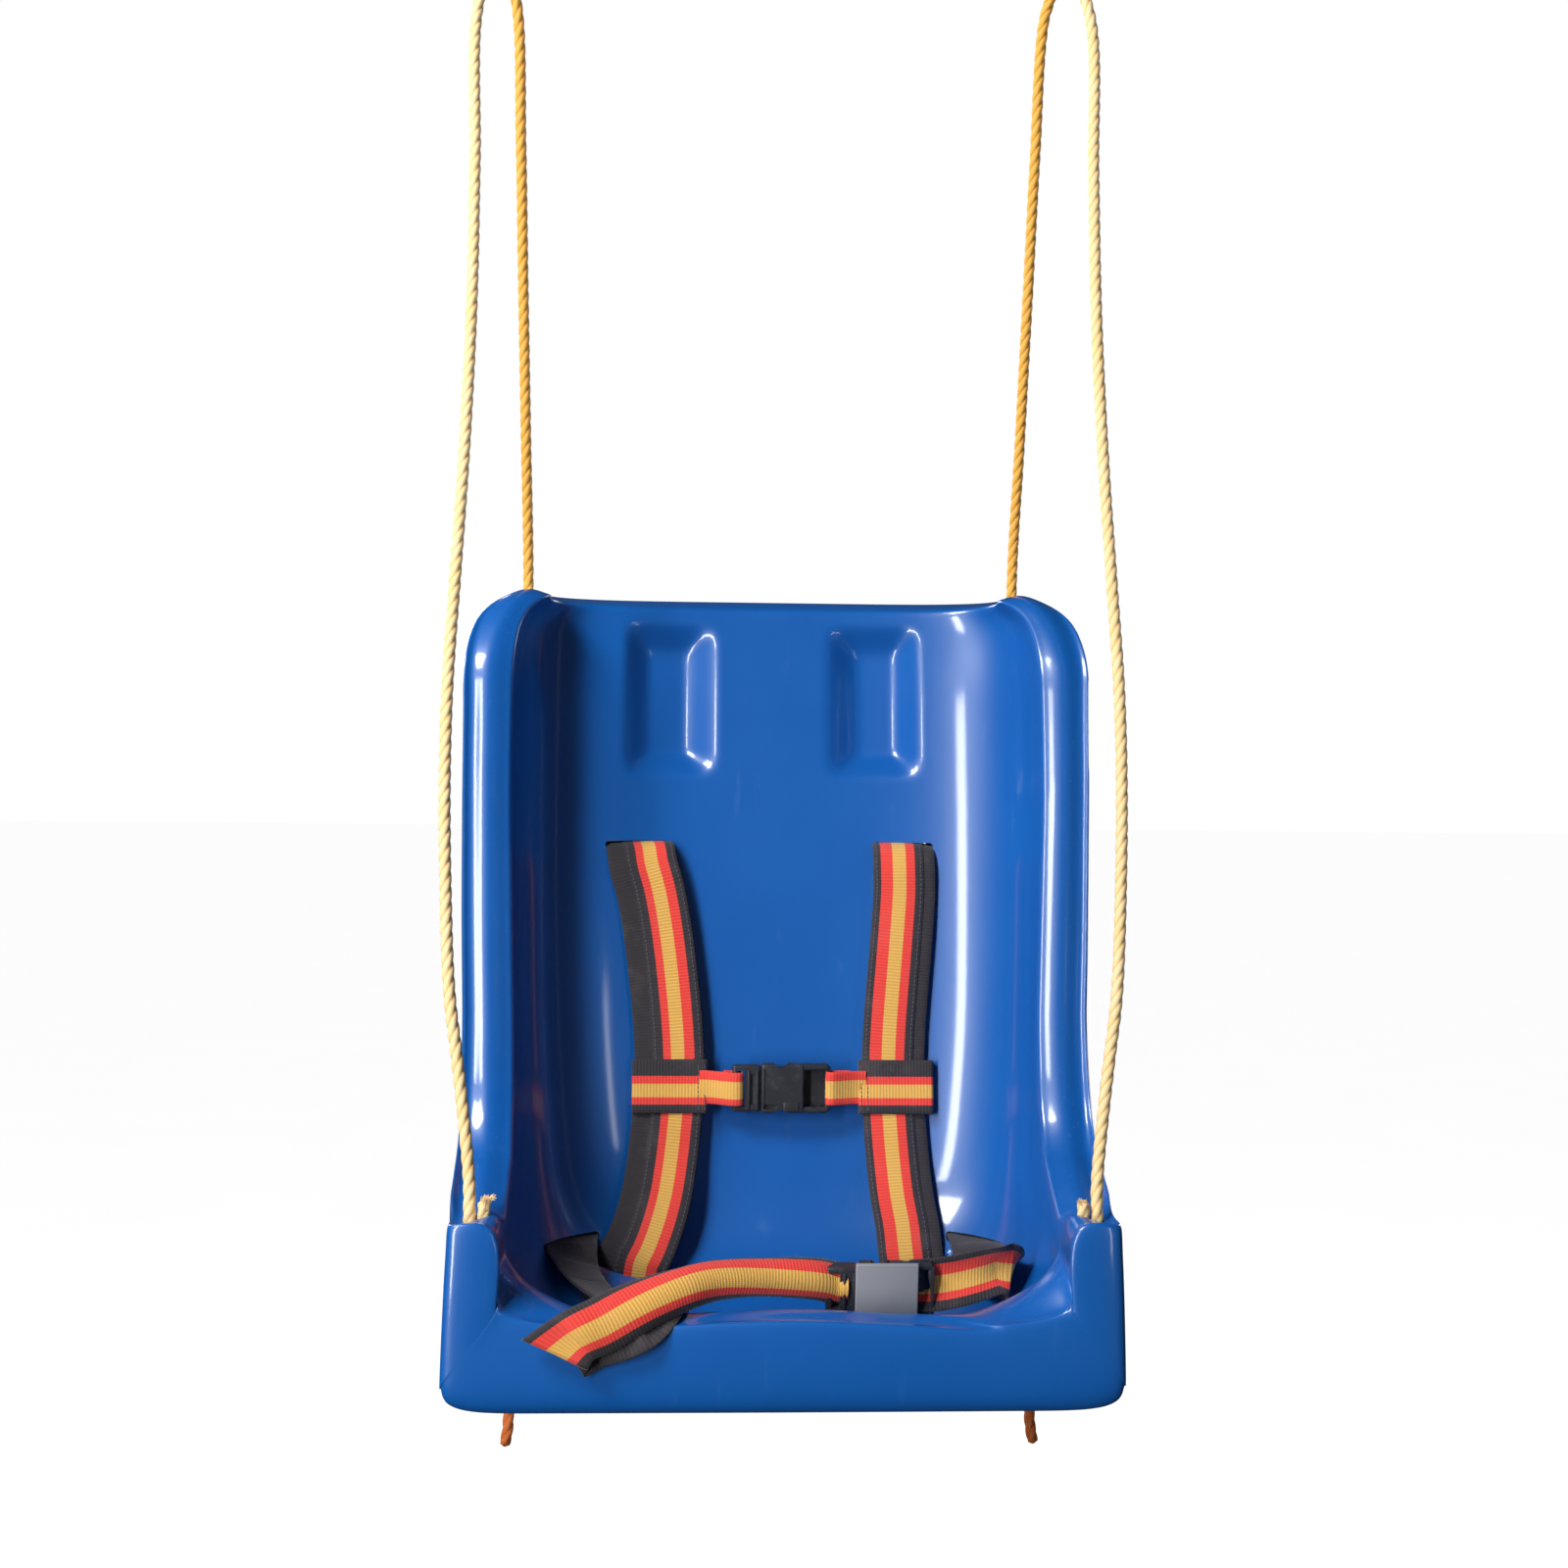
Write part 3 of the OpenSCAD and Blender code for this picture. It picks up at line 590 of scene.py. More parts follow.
def make_shell():
    points, faces, crest = shell_cage()
    shell = mesh_from(through_points(points, faces), faces)
    outwards(shell)
    modifier(shell, "SUBSURF", levels=3, render_levels=3)
    co = np.empty(len(shell.data.vertices) * 3)
    shell.data.vertices.foreach_get("co", co)
    co = co.reshape(-1, 3) * 1000 + HANG
    normal = np.empty(len(co) * 3)
    shell.data.vertices.foreach_get("normal", normal)
    inside = normal.reshape(-1, 3)[:, 1] < 0
    for x in (-82, 82):
        co += press_recess(co, x) * inside[:, None]
    co += settled_outline(co)
    shell.data.vertices.foreach_set("co", placed(co).ravel())
    shell.data.update()
    cutters = []
    for side in (-1, 1):
        lean = Matrix.Rotation(-RECLINE, 4, "X")
        cutters += [rod((side * 207.5, 25, 90), 9.8, 140),
                    block((side * 207.5 - 16, 16, -20), (side * 207.5 + 16, 34, 36), 2),
                    rod((side * 207.5, 25, 22), 5.05, 38, "y"),
                    block((80 if side > 0 else -131, 240, 363.5), (127 if side > 0 else -81, 370, 369), 2.5),
                    block((side * 106 - 29, 174, -10), (side * 106 + 29, 184, 80), 3),
                    block((side * 151 - 20, 150, 71.5), (side * 151 + 20, 320, 78.5), 2.5)]
        tunnel = rod((0, 0, 340), 6.5, 680)
        tunnel.data.transform(Matrix.Translation((side * 197, 219.4, -40)) @ lean)
        cutters.append(tunnel)
    for cutter in cutters:
        move_to(cutter, Matrix.Identity(4))
    combine(shell, [joined(cutters)])
    co = np.array([v.co for v in shell.data.vertices]) * 1000 + HANG
    near = np.full(len(co), 1e9)
    for p in crest:
        near = np.minimum(near, ((co - p) ** 2).sum(1))
    worn = np.clip(1 - np.sqrt(near) / 26, 0, 1)
    shell.data.attributes.new("rim", "FLOAT", "POINT").data.foreach_set("value", worn.astype(np.float32))
    settle(shell, "seat_shell_moulded", BLUE_PLASTIC, "seat", ("seat_shell",), 50)


make_shell()


# ---------------------------------------------------------------- ropes

ROPE_R = 4.5
LAY = 31.0            # length of one turn of a strand
MELTED = 3.5          # length of the rounded end of a rope
THIMBLE_R = 10        # bottom of the thimble's groove
LOOP_R = 16.3         # middle line of the rope round the thimble
RING_R = 24
EYE_THROAT = -46      # top of the seizing, below the middle of the thimble
TWINE_R, TWINE_TURNS, TWINE_PITCH = 1.35, 11, 2.5


def rope_outline():
    """Radius and angle of points round a three-strand rope, and the place of each across its strand."""
    rows, parts = [], 8
    for strand in range(3):
        for k in range(parts):
            t = (k / parts - 0.5) * 2
            turn = math.radians(60 * math.copysign(abs(t) ** 0.85, t))
            centre, strand_r = 0.75 / 1.75, 1 / 1.75
            r = centre * math.cos(turn) + math.sqrt(strand_r ** 2 - (centre * math.sin(turn)) ** 2)
            rows.append((0.5 * r + 0.48, strand * 2 * math.pi / 3 + turn, k / parts, (k + 1) / parts))
    return rows


def laid_rope(route, radius=ROPE_R, step=2.0, lay=LAY):
    """A laid rope along a route, with its ends melted round."""
    centre, _, length = smooth_route(route, step)
    _, first, second = frames(centre)
    outline = rope_outline()
    rings, measures = [], []
    total = length[-1]
    for i, c in enumerate(centre):
        to_end = min(length[i], total - length[i])
        shrink = 1.0
        if to_end < MELTED:
            shrink = 0.25 + 0.75 * math.sqrt(max(0, 1 - (1 - to_end / MELTED) ** 2))
        twist = 2 * math.pi * length[i] / lay
        rings.append(np.array([
            c + radius * shrink * r * (math.cos(a + twist) * first[i] + math.sin(a + twist) * second[i])
            for r, a, _, _ in outline]))
        measures.append(([(u, w) for _, _, u, w in outline], length[i] * 0.001))
    return outwards(swept(rings, measures)), centre, total


def rope_up(rear):
    tilt = math.radians(10.6 if rear else -10.4)
    return np.array([0, -math.sin(tilt), math.cos(tilt)])


def thimble_at(rear):
    lean = math.radians(26)
    bearing = np.array([0, math.sin(lean) * (1 if rear else -1), -math.cos(lean)])
    return np.array([-212, 222, 1159.9]) + RING_R * bearing - (THIMBLE_R - 4 - 0.4 - 2) * rope_up(rear)


def arc(radius, step):
    """Points round the upper half of a circle."""
    turns = [math.radians(a) for a in np.arange(0, 181, step)]
    return [(radius * math.cos(a), radius * math.sin(a)) for a in turns]


def eye_turn(rear):
    """The rope's eye round its thimble, from the standing part over the crown to the throat."""
    flat = [(0, -96), (2.5, -74), (4.9, -56), (9, -34), (14.5, -12)]
    flat += arc(LOOP_R, 22.5)
    flat += [(-14.5, -12), (-9, -34), (-4.9, -54)]
    return [thimble_at(rear) + np.array([1, 0, 0]) * a + b * rope_up(rear) for a, b in flat]


FRONT_ROUTE = [
    [-202.7, 25, 139], [-202.7, 25, 84], [-202.7, 25, 34], [-198.6, 25, 27], [-197.3, 25, 20],
    [-200.3, 25, 14.2],
    [-207.5, 25, 11.6], [-214.7, 25, 14.2], [-217.7, 25, 20], [-216.4, 25, 27], [-212.3, 25, 34],
    [-212.3, 25, 118],
    [-213, 30, 150], [-217, 36.5, 186], [-223, 44.6, 230], [-229.5, 52.8, 275], [-234.3, 67, 352],
    [-236.5, 80, 423],
    [-236.2, 91.6, 487], [-232.9, 105, 560], [-228.8, 121.4, 650], [-226, 141.6, 760], [-226.3, 161.7, 870],
    [-227, 182.8, 985]]
REAR_ROUTE = [
    [-201, 205, -86], [-198.5, 206, -71], [-199, 218, -40], [-197, 225, -12], [-197, 252.5, 125],
    [-197, 290, 313],
    [-197, 340.4, 565], [-198.5, 317, 690], [-200, 296.4, 800], [-201.3, 275.8, 910], [-203.8, 257, 1010]]


def mirrored(points, side):
    return [np.array([-side * p[0], p[1], p[2]]) for p in points]


def seizing(rear, side):
    """Tight turns of dark twine round both legs of an eye, below the thimble."""
    up, where = rope_up(rear), thimble_at(rear)
    round_leg = ROPE_R + 1.1
    route = []
    for i in range(TWINE_TURNS * 20 + 1):
        a = 2 * math.pi * i / 20
        height = EYE_THROAT - TWINE_PITCH * i / 20
        half = 4.9 + 0.02 * (height - EYE_THROAT)
        reach = half * min(1, abs(math.cos(a)) / 0.35)
        across = math.copysign(reach, math.cos(a)) + round_leg * math.cos(a)
        depth = round_leg * math.sin(a)
        route.append(where + np.array([across, 0, 0]) + np.array([0, up[2], -up[1]]) * depth + up * height)
    return laid_rope(mirrored(route, side), TWINE_R, 1.6, 6.0)[0]


def thimble(rear, side):
    """A pressed thimble: a groove swept round a teardrop."""
    up, where = rope_up(rear), thimble_at(rear)
    flat = [(2.2, -37), (6.2, -22), (9.4, -9)]
    flat += arc(THIMBLE_R, 15)
    flat += [(-9.4, -9), (-6.2, -22), (-2.2, -37)]
    line, _, length = smooth_route([[a, 0, b] for a, b in flat], 1.5)
    heading = unit(np.gradient(line, axis=0))
    rings, measures = [], []
    width, depth, wall = 5.4, 4.4, 0.65
    section = []
    for face in (1, -1):
        for k in range(13):
            a = math.radians(-84 + 14 * k) * face
            section.append(((1 - math.cos(a)) * depth - face * wall * math.cos(a) + wall,
                            math.sin(a) * (width - face * wall)))
    for i, p in enumerate(line):
        out = np.array([heading[i][2], 0, -heading[i][0]])
        out = out if out @ (p - np.array([0, 0, -8])) > 0 else -out
        ring = []
        for n, b in section:
            q = p + out * n
            ring.append(where + np.array([q[0], 0, 0]) + up * q[2] + np.array([0, up[2], -up[1]]) * b)
        rings.append(np.array(mirrored(ring, side)))
        measures.append(([(0, 0)] * len(section), length[i] * 0.001))
    return outwards(swept(rings, measures))


def add_tube(parts, rings, measures):
    """Adds a small closed tube over rings of equal points to lists of points, faces and face corners' measures."""
    points, faces, uv = parts
    base, n = len(points), len(rings[0])
    for ring in rings:
        points += ring
    for i in range(len(rings) - 1):
        for k in range(n):
            q = (k + 1) % n
            faces.append((base + i * n + k, base + i * n + q, base + i * n + n + q, base + i * n + n + k))
            uv += [measures[i]] * 4
    for i in (0, len(rings) - 1):
        faces.append(tuple(base + i * n + k for k in range(n)))
        uv += [(measures[0][0], 0)] * n


def frayed_tuft(where, lean, count, reach, seed):
    """Loose film fibres that fan out of a cut rope end."""
    rng = random.Random(seed)
    fibres = []
    for _ in range(count):
        a, out = rng.uniform(0, 2 * math.pi), rng.uniform(0.1, 1.0)
        foot = np.array(where) + np.array([math.cos(a), math.sin(a), 0]) * 3.2 * out + np.array([0, 0, -7])
        tip = np.array(where) + np.array(lean) * rng.uniform(0.4, 1.0) * reach \
            + np.array([math.cos(a), math.sin(a), rng.uniform(-0.2, 0.5)]) * out * reach * 0.55
        middle = (foot + tip) / 2 + np.array([0, 0, 3.5])
        fibres.append((foot, middle, tip, rng.uniform(0.32, 0.6)))
    tuft = ([], [], [])
    for foot, middle, tip, r in fibres:
        line, _, length = smooth_route([foot, middle, tip], 2.2)
        _, first, second = frames(line)
        rings = []
        for i, c in enumerate(line):
            thin = r * (1 - 0.55 * i / (len(line) - 1))
            rings.append([c + thin * (math.cos(k * math.pi / 2) * first[i] + math.sin(k * math.pi / 2) * second[i])
                          for k in range(4)])
        add_tube(tuft, rings, [(0.4, s * 0.001) for s in length])
    return outwards(mesh_from(*tuft))


# place, lean, number of fibres, reach and seed of each tuft
TUFTS = {"left": ((-202, 24.5, 140), (0.35, -0.25, 0.1), 110, 10, 3),
         "right": ((202.7, 24.5, 138), (-0.4, -0.25, 0.1), 70, 6.5, 5)}


def stopper_knot(side):
    """Two close turns of the rear rope round its own tail, under the washer."""
    route = []
    centre, axis = np.array([-197.6, 223, -15]), unit([0.05, 0.24, 0.97])
    first = unit(np.cross(axis, [0, 1, 0]))
    second = np.cross(axis, first)
    for i in range(0, 31):
        a = 2 * math.pi * i / 16
        reach = 9.6 if 2 < i < 28 else 6.5
        route.append(centre + reach * (math.cos(a) * first + math.sin(a) * second) + axis * (5.4 - 10.8 * i / 30))
    return laid_rope(mirrored(route, side), ROPE_R * 0.93, 1.8, LAY * 0.9)[0]


def make_ropes():
    for name, side in BOTH:
        for rear, label in ((False, "front"), (True, "rear")):
            route = mirrored((REAR_ROUTE if rear else FRONT_ROUTE) + eye_turn(rear), side)
            rope, centre, total = laid_rope(route)
            finish = ROPE_REAR if rear else ROPE
            soft_piece(rope, f"{label}_rope_laid_{name}", finish, "rope", f"{label}_rope_{name}")
            twine = soft_piece(seizing(rear, side), f"{label}_seizing_{name}", TWINE, "rope")
            settle(thimble(rear, side), f"{label}_thimble_pressed_{name}", ZINC, "seat",
                   (f"{label}_thimble_{name}",))
            if rear:
                soft_piece(stopper_knot(side), f"rear_knot_tied_{name}", ROPE_REAR, "rope",
                                             f"rear_knot_{name}")
            else:
                soft_piece(frayed_tuft(*TUFTS[name]), f"front_tail_frayed_{name}", ROPE, "rope")


make_ropes()


# ---------------------------------------------------------------- webbing

def round_band(cols, edge):
    """Places round a band's section: across its front, its edge, back across its other side, and its edge."""
    front = [-1 + 2 * k / cols for k in range(cols + 1)]
    return [(u, 1) for u in front] + [(edge, 0)] + [(u, -1) for u in reversed(front)] + [(-edge, 0)]


def paired(values):
    return list(zip(values, values[1:] + values[:1]))


def woven(route, across, width, thick, shift=0.0, raised=0.0, step=4.0, cols=12, cup=0.0):
    """A woven band along a route. across is the direction of its width at each point, raised lifts it off
    that line, and cup bends its edges up."""
    centre, index, length = smooth_route(route, step)
    side = np.asarray(across, float)
    side = np.column_stack([np.interp(index, np.arange(len(side)), side[:, k]) for k in range(3)])
    heading = unit(np.gradient(centre, axis=0))
    side = unit(side - (side * heading).sum(1, keepdims=True) * heading)
    face = np.cross(heading, side)
    rings, measures = [], []
    for i, c in enumerate(centre):
        ring, measure = [], []
        for u, which in round_band(cols, 1.035):
            thin = thick / 2 * (1 - 0.28 * max(0, abs(u) - 0.86) / 0.14)
            lift = raised + cup * u * u
            ring.append(c + side[i] * (shift + u * width / 2) + face[i] * (lift + which * thin))
            measure.append(((u + 1) / 2 * width * 0.001))
        rings.append(np.array(ring))
        measures.append((paired(measure), length[i] * 0.001))
    return outwards(swept(rings, measures)), centre, side, face, length


STITCH_LONG, STITCH_WIDE = 2.6, 0.42


def stitches(rows, name):
    """Small raised stitches; rows holds (place, along, up) for each."""
    threads = ([], [], [])
    for place, along, up in rows:
        across = np.cross(along, up)
        rings = []
        for s, r in ((-0.5, 0.25), (-0.28, 1), (0.28, 1), (0.5, 0.25)):
            rings.append([place + along * s * STITCH_LONG + across * math.cos(a) * STITCH_WIDE * r
                          + up * (math.sin(a) * STITCH_WIDE * r - 0.1) for a in (math.pi * k / 4 for k in range(5))])
        add_tube(threads, rings, [(0, 0)] * len(rings))
    soft_piece(outwards(mesh_from(*threads)), name, THREAD, "dark_webbing")


def stitch_line(centre, side, face, length, offset, lift, first, last, pitch):
    """Stitches along a band, at one distance from its middle."""
    rows = []
    for s in np.arange(first, last, pitch):
        at = [np.array([np.interp(s, length, a[:, k]) for k in range(3)]) for a in (centre, side, face)]
        ahead = np.array([np.interp(s + 1, length, centre[:, k]) for k in range(3)])
        rows.append((at[0] + unit(at[1]) * offset + unit(at[2]) * lift, unit(ahead - at[0]), unit(at[2])))
    return rows


SHOULDER_ROUTES = {
    "left": [[-106, 344, 366], [-106, 292, 366], [-105, 282, 366.5], [-103, 273, 362], [-101, 268, 351],
             [-95, 264, 330], [-88, 257, 292], [-80, 243.5, 220], [-79, 236.5, 182], [-81, 231, 156],
             [-84, 223, 128],
             [-88, 209, 104], [-94, 194, 84], [-100, 184, 70], [-106, 179, 58], [-106, 179, -12]],
    "right": [[106, 344, 366], [106, 292, 366], [106, 282, 367], [106, 272.5, 363.2], [106, 266, 351],
              [106, 262, 330], [103, 254, 292], [97, 242, 220], [96, 235, 182], [97, 229.5, 156],
              [99, 221.5, 128],
              [101, 208, 104], [104, 194, 84], [105, 184, 70], [106, 179, 58], [106, 179, -12]]}


def make_shoulder_straps():
    """Each strap is a wide folded backing with the striped webbing sewn on top."""
    for name, side in BOTH:
        route = SHOULDER_ROUTES[name]
        across = [[1, 0, 0]] * len(route)
        wide, offset = (52, 0) if side < 0 else (47, -2.5)
        backing, *_ = woven(route, across, wide, 2.0, shift=offset, raised=-0.4, cols=14, cup=-0.5)
        soft_piece(backing, f"shoulder_backing_{name}", DARK_CLOTH, "dark_webbing", f"shoulder_strap_{name}")
        shift = 6.6 if side < 0 else -6.8
        top, centre, across_at, face, length = woven(route, across, 38, 1.5, shift=shift, raised=1.3, cols=14,
                                                     cup=-0.5)
        soft_piece(top, f"shoulder_webbing_{name}", SHOULDER_LEFT if side < 0 else SHOULDER_RIGHT,
                   "striped_webbing")
        rows = []
        for edge in (-17.2, 17.2):
            rows += stitch_line(centre, across_at, face, length, shift + edge, 1.75, 60, length[-1] - 55, 3.4)
        stitches(rows, f"shoulder_stitches_{name}")


make_shoulder_straps()


def sleeve(low, high, height, depth, thick, centre, lean):
    """A band of webbing closed into a flat loop, seen from outside as two layers with folded ends."""
    half, deep, round_r = (high - low) / 2, depth / 2, 2.6
    outline = []
    for sx, sy, start in ((1, -1, -90), (1, 1, 0), (-1, 1, 90), (-1, -1, 180)):
        for k in range(7):
            a = math.radians(start + 15 * k)
            outline.append(((half - round_r) * sx + round_r * math.cos(a),
                            (deep - round_r) * sy + round_r * math.sin(a)))
    around = []
    for i, p in enumerate(outline):
        q = outline[(i + 1) % len(outline)]
        n = max(1, int(math.hypot(q[0] - p[0], q[1] - p[1]) / 4))
        around += [(p[0] + (q[0] - p[0]) * k / n, p[1] + (q[1] - p[1]) * k / n) for k in range(n)]
    around = np.array(around)
    tangent = unit(np.roll(around, -1, 0) - np.roll(around, 1, 0))
    outside = np.column_stack([tangent[:, 1], -tangent[:, 0]])
    length = np.append(0, np.cumsum(np.linalg.norm(np.diff(around, axis=0), axis=1)))
    rows = 12
    points, faces, uv = [], [], []
    levels = [-0.5 + k / rows for k in range(rows + 1)]
    profile = ([(z, 0.0) for z in levels] + [(0.515, thick / 2)]
               + [(z, thick) for z in reversed(levels)] + [(-0.515, thick / 2)])
    turn = Matrix.Rotation(lean, 3, "X")
    for i, (x, y) in enumerate(around):
        sag = 0.5 * math.sin(x * 0.16 + 0.8) * (1 if y < 0 else 0.3)
        for z, inwards in profile:
            edge = 0.35 * max(0, abs(z) - 0.42) / 0.08
            sunk = inwards + edge * (inwards / thick - 0.5) + (sag if y < 0 else 0) * 0.3
            x2, y2 = np.array([x, y]) - outside[i] * sunk
            points.append(np.array(centre) + np.array(turn @ Vector((x2, y2, z * height))))
    n, m = len(profile), len(around)
    for i in range(m):
        j = (i + 1) % m
        v, w = length[i], length[i] + np.linalg.norm(around[j] - around[i])
        for k in range(n):
            q = (k + 1) % n
            faces.append((i * n + k, j * n + k, j * n + q, i * n + q))
            a, b = ((profile[k][0] + 0.5) * height * 0.001, (profile[q][0] + 0.5) * height * 0.001)
            uv += [(a, v * 0.001), (a, w * 0.001), (b, w * 0.001), (b, v * 0.001)]
    return outwards(mesh_from(points, faces, uv))


def make_chest_strap():
    for name, low, high, y in (("left", -108, -50, 236.2), ("right", 66.5, 124.5, 234.8)):
        middle = ((low + high) / 2, y, 182)
        soft_piece(sleeve(low, high, 40, 7.8, 1.3, middle, -RECLINE), f"chest_band_woven_{name}", CHEST,
                   "striped_webbing", f"chest_band_{name}")
        inner = high - 7 if name == "left" else low + 7
        rows = []
        up = np.array([0, math.sin(RECLINE), math.cos(RECLINE)])
        out = np.array([0, -math.cos(RECLINE), math.sin(RECLINE)])
        for x in (inner, inner + (5 if name == "left" else -5)):
            rows += [(np.array([x, y, 182]) + up * s + out * 4.0, up, out) for s in np.arange(-17, 18, 3.2)]
        stitches(rows, f"chest_stitches_{name}")
    up = [[0, 0, 1]]
    wrap = [[-56, 232.6, 182], [-49, 231.2, 182], [-42, 228.6, 181.8], [-36, 225.6, 181.6], [-31, 223.6, 181.5],
            [-27, 223.2, 181.5], [-24, 224.6, 181.5], [-23.2, 228, 181.5], [-24.6, 231.4, 181.6],
            [-29, 233.6, 181.8],
            [-38, 234.4, 182]]
    left, *_ = woven(wrap, up * len(wrap), 25, 1.9, step=1.2, cup=-0.4)
    soft_piece(left, "chest_webbing_narrow_left", CHEST_NARROW, "striped_webbing", "chest_webbing_left")
    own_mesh(left)
    wrap = [[72, 232.4, 182], [64, 231.6, 182], [56, 229, 182], [50, 226.6, 182], [46, 225.2, 182],
            [42.5, 226.2, 182],
            [41.4, 229, 182], [43, 232, 182], [48, 233.6, 182], [60, 234.4, 182]]
    right, *_ = woven(wrap, up * len(wrap), 25, 1.9, step=1.2, cup=-0.4)
    soft_piece(right, "chest_webbing_narrow_right", CHEST_NARROW, "striped_webbing", "chest_webbing_right")


make_chest_strap()


LAP_WIDTH = 38


def flat_to(route, across):
    """Edge pairs of a strap from its middle line and the direction from its upper to its lower edge."""
    pairs = []
    route = np.asarray(route, float)
    for i, (p, a) in enumerate(zip(route, across)):
        heading = unit(route[min(i + 1, len(route) - 1)] - route[max(i - 1, 0)])
        a = np.asarray(a, float)
        a = unit(a - (a @ heading) * heading) * LAP_WIDTH / 2
        pairs.append((*(p - a), *(p + a)))
    return pairs


def banded(pairs, thick, step, ripple):
    """A strap between two edges; where they are closer than its width, it bows out between them."""
    width = LAP_WIDTH
    line, _, _ = smooth_route(pairs, step)
    top, bottom = line[:, :3], line[:, 3:]
    centre = (top + bottom) / 2
    length = np.append(0, np.cumsum(np.linalg.norm(np.diff(centre, axis=0), axis=1)))
    heading = unit(np.gradient(centre, axis=0))
    chord = np.linalg.norm(bottom - top, axis=1)
    side = (bottom - top) / chord[:, None]
    face = unit(np.cross(heading, side))
    rings, measures = [], []
    for i in range(len(line)):
        ratio = min(chord[i] / width, 0.9995)
        bend = math.sqrt(max(0.0, 6 * (1 - ratio)))
        for _ in range(3):
            bend = math.sqrt(max(1e-6, 6 * (1 - ratio) + bend ** 4 / 20))
        bow = 1 if chord[i] < width else 0
        ring, measure = [], []
        for u, which in round_band(14, 1.03):
            thin = thick / 2 * (1 - 0.3 * max(0, abs(u) - 0.86) / 0.14)
            wave = ripple * math.sin(length[i] * 0.08 + 2.2 * u)
            rise = bow * width / 2 / bend * (math.cos(u * bend) - math.cos(bend))
            across = math.sin(u * bend) / math.sin(bend) * chord[i] / 2
            turn = math.sin(u * bend) * bow
            out = face[i] * math.sqrt(max(0.05, 1 - turn * turn)) + side[i] * turn
            ring.append(centre[i] + side[i] * across + face[i] * (rise + wave) + out * which * thin)
            measure.append((u + 1) / 2 * width * 0.001)
        rings.append(np.array(ring))
        measures.append((paired(measure), length[i] * 0.001))
    return outwards(swept(rings, measures))


# upper and lower edge of the front layer, from the buckle to the fold before the lip
LAP_EDGES = [
    (44, 62.5, 86, 44, 62, 62), (35.6, 61.5, 88.6, 35.9, 61, 60), (22, 57.5, 91.6, 22, 55, 64),
    (-13.8, 50, 93.1, -13.8, 44, 69.3), (-51.4, 38, 93.7, -45.4, 28, 70.5), (-75.1, 26, 91.3, -63.1, 14, 68.3),
    (-97, 14, 88.4, -80.6, 4, 62.7), (-115.6, 4, 84.4, -96.4, -4, 55.8), (-131.5, -4, 78.6, -114.9, -10, 46.5),
    (-149.7, -11, 71.4, -126, -12, 42.5), (-172.4, -13.2, 56, -130.6, -13.6, 37),
    (-173.6, -11.8, 55.2, -131.6, -12, 35.6),
    (-172.6, -10.2, 55.4, -130.4, -10.4, 36.2)]
LAP_TAIL = [
    [-142, -7, 46], [-128, -5.6, 53], [-112, -4.2, 58], [-99, 1, 62], [-91, 11, 64], [-86, 22, 63.8],
    [-84, 34, 62.5],
    [-83, 45, 58.5], [-86, 57, 53], [-97, 73, 50], [-115, 92, 52], [-133, 115, 58.5], [-146, 142, 68],
    [-151, 170, 75],
    [-151, 200, 75], [-151, 300, 75]]
LAP_TAIL_ACROSS = [
    [0.42, 0, -0.9], [0.45, 0, -0.9], [0.5, -0.1, -0.8], [0.6, -0.3, -0.6], [0.8, -0.3, -0.2], [0.95, 0.1, 0.1],
    [1, 0, 0.05], [1, 0, 0.05], [1, 0.08, 0], [0.97, 0.2, -0.15], [0.95, 0.25, -0.3], [0.95, 0.15, -0.4],
    [1, 0.1, -0.38], [1, 0, -0.05], [1, 0, 0], [1, 0, 0]]
LAP_RIGHT_EDGES = [
    (88, 57.5, 90, 88, 56.5, 55), (104, 57, 91.5, 104, 56, 55.2), (120, 57, 93.5, 120, 56, 57.5),
    (140, 58.5, 97, 139, 57.5, 62), (153, 62, 98, 154, 60, 66)]
LAP_RIGHT_TAIL = [
    [160.5, 69, 79.5], [162, 76, 77], [160.5, 84, 74.5], [157, 97, 72], [152.5, 120, 70.5], [150.5, 146, 73],
    [151, 172, 75], [151, 300, 75]]
LAP_RIGHT_ACROSS = [
    [-0.05, 0, -1], [-0.4, 0, -0.9], [-0.65, -0.1, -0.65], [-0.85, -0.1, -0.5], [-0.9, 0, -0.42],
    [-0.93, 0, -0.33],
    [-1, 0, -0.04], [-1, 0, 0]]


def painted_shade_past(obj, start):
    """Painted shade: gives the plain dark webbing finish to all of a strap past a length, in metres, where the strap
    runs back into the shaded hollow of the seat.
    """
    obj.data.materials.append(DARK_CLOTH)
    measure = obj.data.uv_layers[0].data
    for face in obj.data.polygons:
        face.material_index = int(measure[face.loop_start].uv[1] > start)


def make_lap_belt():
    left = banded(LAP_EDGES + flat_to(LAP_TAIL, LAP_TAIL_ACROSS), 2.1, 1.8, 0.35)
    soft_piece(left, "lap_webbing_left", LAP, "striped_webbing", "lap_strap_left", "lap_tail_left")
    # painted shade on the left tail past its fold
    painted_shade_past(left, 0.229)
    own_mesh(left)
    right = banded(LAP_RIGHT_EDGES + flat_to(LAP_RIGHT_TAIL, LAP_RIGHT_ACROSS), 2.1, 2.2, 0.3)
    soft_piece(right, "lap_webbing_right", LAP, "striped_webbing", "lap_strap_right")
    # painted shade on the right tail where it turns into the seat
    painted_shade_past(right, 0.086)


make_lap_belt()


# ---------------------------------------------------------------- buckles and hardware

